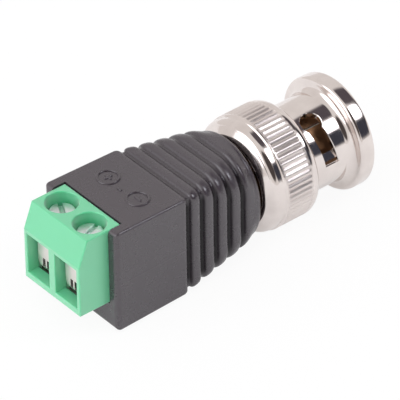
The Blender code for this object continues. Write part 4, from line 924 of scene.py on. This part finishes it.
def clamp_screw(pole, y, slot_angle):
    """A slotted cheese-head screw turned round Z, its slot's edges broken."""
    chamfer, under_edge, top_edge = 0.1, 0.07, 0.16
    outline = np.vstack(
        [
            [(SCREW_END, 0.0), (SCREW_END, SHANK_RADIUS - chamfer), (SCREW_END + chamfer, SHANK_RADIUS)],
            [(HEAD_UNDER, SHANK_RADIUS), (HEAD_UNDER, HEAD_RADIUS - under_edge)],
            arc(HEAD_UNDER + under_edge, HEAD_RADIUS - under_edge, under_edge, under_edge, 2, 1, 3),
            arc(HEAD_TOP - top_edge, HEAD_RADIUS - top_edge, top_edge, top_edge, 1, 0, 6),
            [(HEAD_TOP, 0.0)],
        ]
    )
    reach, slot_depth, slot_edge = 2.0, 0.5, 0.11
    half, wide = DRIVE_HALF_WIDTH, DRIVE_HALF_WIDTH + slot_edge
    slot = bar((-reach, -half, HEAD_TOP - slot_depth), (reach, half, HEAD_TOP - 0.06))
    low, high, above = HEAD_TOP - 0.08, HEAD_TOP + 0.03, HEAD_TOP + 0.94
    flared = [(-half, low), (half, low), (wide, high), (wide, above), (-wide, above), (-wide, high)]
    mouth = skin(np.array([np.insert(flared, 0, x, axis=1) for x in (-reach, reach)]))
    turn = np.array(Matrix.Rotation(slot_angle, 3, "Z"))
    place = np.array((SCREW_X, y, 0.0))
    piece(
        f"clamp_screw_head_{pole}",
        upright(turned_solid(outline, 64), SCREW_X, y),
        zinc_plate,
        f"clamp_screw_{pole}",
        body=f"clamp_screw_{pole}",
        cutters=[(points @ turn.T + place, faces) for points, faces in (slot, mouth)],
    )


def leaf_path():
    """The leaf's middle line from its top: (x, z) points down the tongue, round the bend and along the
    foot."""
    angle = np.linspace(0, np.pi / 2, 12)
    reach = LEAF_BEND - LEAF_THICKNESS / 2
    tongue_top, foot_end = 3.23, 0.675
    down = np.stack([np.full(20, LEAF_BEND_X - reach), np.linspace(tongue_top, LEAF_BEND_Z + 0.07, 20)], 1)
    bend = np.stack([LEAF_BEND_X - reach * np.cos(angle), LEAF_BEND_Z - reach * np.sin(angle)], 1)
    back = np.stack([np.linspace(LEAF_BEND_X + 0.1, foot_end, 12), np.full(12, LEAF_BEND_Z - reach)], 1)
    return np.vstack([down, bend, back])


def clamp_leaf(pole, y):
    """The pressed leaf: a flat section with rounded edges carried along its middle line, its width drawn in
    by a quarter circle at the tongue's end."""
    path = leaf_path()
    ahead = np.gradient(path, axis=0)
    ahead /= np.linalg.norm(ahead, axis=1)[:, None]
    normal = np.stack([ahead[:, 1], -ahead[:, 0]], 1)
    height = path[:, 1] - (LEAF_BEND_Z - LEAF_BEND)
    drawn_in = 1 - np.sqrt(np.clip(1 - (1 - height / LEAF_TIP_RADIUS).clip(0, 1) ** 2, 0, 1))
    tongue = LEAF_HALF_WIDTH - LEAF_TIP_RADIUS * drawn_in
    foot = np.interp(path[:, 0], [LEAF_BEND_X, -1.9, -1.4], [LEAF_NECK, 0.9, 1.33])
    half_width = np.where(path[:, 0] < LEAF_BEND_X - 0.02, np.maximum(tongue, LEAF_NECK), foot)
    edge = 0.08
    angle = (np.arange(4)[:, None] * np.pi / 2 + np.linspace(0, np.pi / 2, 4)).ravel()
    side = np.repeat([(1, 1), (-1, 1), (-1, -1), (1, -1)], 4, axis=0)
    across = side[:, 0] * (half_width[:, None] - edge) + edge * np.cos(angle)
    through = side[:, 1] * (LEAF_THICKNESS / 2 - edge) + edge * np.sin(angle)
    x = path[:, :1] + normal[:, :1] * through
    z = path[:, 1:] + normal[:, 1:] * through
    slot_half, slot_aside = 0.23, 0.36
    slots = [
        bar((-4.0, middle - slot_half, -1.4), (-2.7, middle + slot_half, -0.25))
        for middle in (y - slot_aside, y + slot_aside)
    ]
    piece(
        f"clamp_leaf_{pole}",
        skin(np.stack([x, y + across, z], -1)),
        tinned_leaf,
        f"wire_guard_{pole}",
        body=f"wire_guard_{pole}",
        cutters=slots,
        even=True,
    )


# Plug's inside


def spring_sleeve():
    """The outer contact: a thin turned tube with a bead at its mouth, slit into fingers."""
    outline = np.vstack(
        [
            [(24.9, 3.55), (27.2, 3.55), (27.2, 3.98), (27.27, 4.05), (32.8, 4.05)],
            [(33.4, 4.07), (33.9, 4.12), (34.2, 4.16), (34.45, 4.17), (34.7, 4.14), (34.95, 4.07)],
            [(35.12, 3.97), (35.2, 3.86), (35.2, 3.62), (35.08, 3.5), (27.75, 3.5), (27.75, 3.0)],
            [(24.9, 3.0)],
        ]
    )
    points, faces = bar((29.4, -SLIT_HALF_WIDTH, 2.9), (36.5, SLIT_HALF_WIDTH, 4.7))
    slits = []
    for finger in range(FINGERS):
        angle = math.radians(360 / FINGERS * finger + FIRST_SLIT_ANGLE)
        turn = np.array(Matrix.Rotation(angle, 3, "X"))
        slits.append((points @ turn.T, faces))
    piece(
        "spring_sleeve",
        turned(outline, 144),
        phosphor_bronze,
        "outer_contact",
        cutters=slits,
    )


def pin_and_cup():
    """The white cup round the pin, and the pin with its rounded tip."""
    cup = np.vstack(
        [
            [(22.7, 2.9), (24.9, 2.9), (27.85, 2.9), (27.85, 3.4), (34.7, 3.4), (34.77, 3.37), (34.8, 3.3)],
            [(34.8, 2.62), (34.76, 2.54), (34.66, 2.46), (34.6, 2.45), (29.6, 2.45), (29.52, 2.42)],
            [(29.5, 2.34), (29.5, 1.0), (29.42, 0.9), (22.7, 0.9)],
        ]
    )
    pin_radius, tip_start, tip_length = 0.675, 34.3, 0.7
    pin = np.vstack(
        [
            [(13.55, 0.0), (13.55, 0.6), (12.1, 0.6), (12.1, 1.0), (13.8, 1.0), (13.8, 0.8), (22.0, 0.8)],
            [(22.0, 1.15), (22.6, 1.15), (22.6, 0.8), (29.45, 0.8), (29.5, pin_radius)],
            [(tip_start, pin_radius)],
            arc(tip_start, 0.0, tip_length, pin_radius, 1, 0, 10),
        ]
    )
    piece("pin_insulator", turned(cup, 96), white_dielectric, "front_insulator")
    piece("gold_pin", turned_solid(pin, 64), gold_plate, "centre_contact")


def wave_spring():
    """The wave washer: a flat ring whose place along the axis follows three sine waves round it."""
    waves, rise, thickness, back = 3, 0.35, 0.2, 24.9
    outer, inner = 4.75, 4.32
    angle = np.linspace(0, 2 * np.pi, 144, endpoint=False)[None, :]
    face = np.array([0.0, thickness, thickness, 0.0])[:, None]
    radius = np.array([outer, outer, inner, inner])[:, None]
    x = face + back + rise * (1 + np.sin(waves * angle))
    ring = skin(np.stack([x, radius * np.cos(angle), radius * np.sin(angle)], -1), close_rows=True)
    made = piece("wave_spring", ring, spring_steel, "wave_washer")
    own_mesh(made)


# Floor, lamps, surroundings and camera


def studio_floor():
    """A white floor. The camera sees it as nearly pure white, with a faint share of its own shading for the
    object's shadow, and metal sees half of each."""
    size, seen_share, mirrored_share = 3.0, 0.92, 0.5
    white_light = {"Color": (1.0, 1.0, 1.0, 1.0), "Strength": 1.0}
    level = -GRIP_RADIUS * MM
    corners = [(-size, -size, level), (size, -size, level), (size, size, level), (-size, size, level)]
    mesh = bpy.data.meshes.new("studio_floor")
    mesh.from_pydata(corners, [], [(0, 1, 2, 3)])
    floor = bpy.data.objects.new("studio_floor", mesh)
    bpy.context.scene.collection.objects.link(floor)
    material = bpy.data.materials.new("white_card")
    material.use_nodes = True
    tree = material.node_tree
    tree.nodes.clear()
    card = add_node(tree, "ShaderNodeBsdfDiffuse", {"Color": linear("#F4F4F4")})
    white = add_node(tree, "ShaderNodeEmission", white_light)
    path = add_node(tree, "ShaderNodeLightPath")
    mirrored = path.outputs["Is Glossy Ray"]
    seen = add_math(tree, "ADD", path.outputs["Is Camera Ray"], mirrored)
    seen = add_math(tree, "MINIMUM", add_math(tree, "ADD", seen, path.outputs["Is Transmission Ray"]), 1.0)
    share = add_math(tree, "MULTIPLY_ADD", mirrored, mirrored_share - seen_share, seen_share)
    share = add_math(tree, "MULTIPLY", seen, share)
    mixed = add_node(tree, "ShaderNodeMixShader", {0: share, 1: card.outputs[0], 2: white.outputs[0]})
    add_node(tree, "ShaderNodeOutputMaterial", {"Surface": mixed.outputs[0]})
    mesh.materials.append(material)


# What stands round the object: direction, half width in degrees, softness in degrees, colour, strength
SURROUNDINGS = {
    "dark card overhead": ((0.50, 0.02, 0.866), 17, 4, "#5D565C", 1.0),
    "dark blue card low beside the plug": ((0.50, -0.81, 0.31), 16, 4, "#444550", 1.0),
    "dark card beside the bright strip": ((0.80, -0.36, 0.48), 20, 5, "#2E282C", 1.0),
    "dim room round the camera": ((-0.22, -0.78, 0.58), 29, 4, "#544D4C", 1.0),
    "bright strip": ((0.51, -0.51, 0.70), 11, 3, "#F6F7FF", 6.0),
    "bright wall behind the block": ((-0.86, 0.16, 0.46), 28, 4, "#FBFBFF", 2.8),
}


def studio_world():
    """White walls with dark cards, one bright strip and a bright wall, laid by direction. Each is the angle
    between a ray and its middle, softly stepped."""
    wall_strength = 0.92
    world = bpy.data.worlds.new("studio")
    bpy.context.scene.world = world
    world.use_nodes = True
    tree = world.node_tree
    tree.nodes.clear()
    ray = add_node(tree, "ShaderNodeTexCoord").outputs["Generated"]
    colour = linear("#F6F2F0")
    for direction, half_width, softness, hex_colour, strength in SURROUNDINGS.values():
        toward = Vector(direction).normalized()
        alike = add_node(tree, "ShaderNodeVectorMath", {0: ray, 1: toward}, operation="DOT_PRODUCT")
        inside = add_node(
            tree,
            "ShaderNodeMapRange",
            {
                "Value": alike.outputs["Value"],
                "From Min": math.cos(math.radians(half_width + softness)),
                "From Max": math.cos(math.radians(half_width - softness)),
            },
            interpolation_type="SMOOTHSTEP",
        )
        card = [channel * strength for channel in linear(hex_colour)[:3]] + [1.0]
        colour = two_tones(tree, inside.outputs[0], colour, card)
    lit = add_node(tree, "ShaderNodeBackground", {"Color": colour, "Strength": wall_strength})
    white = add_node(tree, "ShaderNodeBackground", {"Color": (1.0, 1.0, 1.0, 1.0), "Strength": 1.0})
    seen = add_node(tree, "ShaderNodeLightPath").outputs["Is Camera Ray"]
    mixed = add_node(tree, "ShaderNodeMixShader", {0: seen, 1: lit.outputs[0], 2: white.outputs[0]})
    add_node(tree, "ShaderNodeOutputWorld", {"Surface": mixed.outputs[0]})


def lamp(name, direction, strength, softness):
    """A soft lamp far off in a direction, kept out of reflections."""
    light = bpy.data.lights.new(name, "SUN")
    light.energy = strength
    light.angle = math.radians(softness)
    made = bpy.data.objects.new(name, light)
    made.rotation_mode = "QUATERNION"
    made.rotation_quaternion = Vector(direction).to_track_quat("Z", "Y")
    made.visible_glossy = False
    bpy.context.scene.collection.objects.link(made)


def camera():
    """The photograph's view: 39.1 degrees round towards the block, 37.4 degrees up, 600 mm off, rolled a
    degree. It aims at a point of the axis, moved across and up to centre the adapter in the frame."""
    azimuth, elevation, roll = (math.radians(angle) for angle in (-39.08, 37.40, -0.914))
    distance, pixels_per_mm, image_width, sensor = 600.0, 8.765, 400, 36.0
    aim_x, aim_right, aim_up = 12.0, 4.204, 1.797
    reach = math.cos(elevation)
    back = Vector((math.sin(azimuth) * reach, -math.cos(azimuth) * reach, math.sin(elevation)))
    level = Vector((math.cos(azimuth), math.sin(azimuth), 0.0))
    upward = back.cross(level)
    right = level * math.cos(roll) + upward * math.sin(roll)
    up = upward * math.cos(roll) - level * math.sin(roll)
    aim = Vector((aim_x, 0.0, 0.0)) + right * aim_right + up * aim_up
    place = Vector(set_in_place(aim + back * distance))
    data = bpy.data.cameras.new("camera")
    data.sensor_width = sensor
    data.lens = pixels_per_mm * distance * sensor / image_width
    data.clip_start, data.clip_end = 0.01, 20.0
    made = bpy.data.objects.new("camera", data)
    made.matrix_world = Matrix.Translation(place) @ Matrix((right, up, back)).transposed().to_4x4()
    bpy.context.scene.collection.objects.link(made)
    bpy.context.scene.camera = made


finish_the_nodes()
coupling_nut()
housing()
terminal_block()
for pole, y in POLES.items():
    clamp_screw(pole, y, math.radians(62 if pole == "positive" else 20))
    clamp_leaf(pole, y)
spring_sleeve()
pin_and_cup()
wave_spring()

studio_floor()
studio_world()
lamp("soft_key", (-0.35, -0.50, 0.79), 1.0, 50)
camera()
bpy.context.scene.view_settings.view_transform = "Standard"
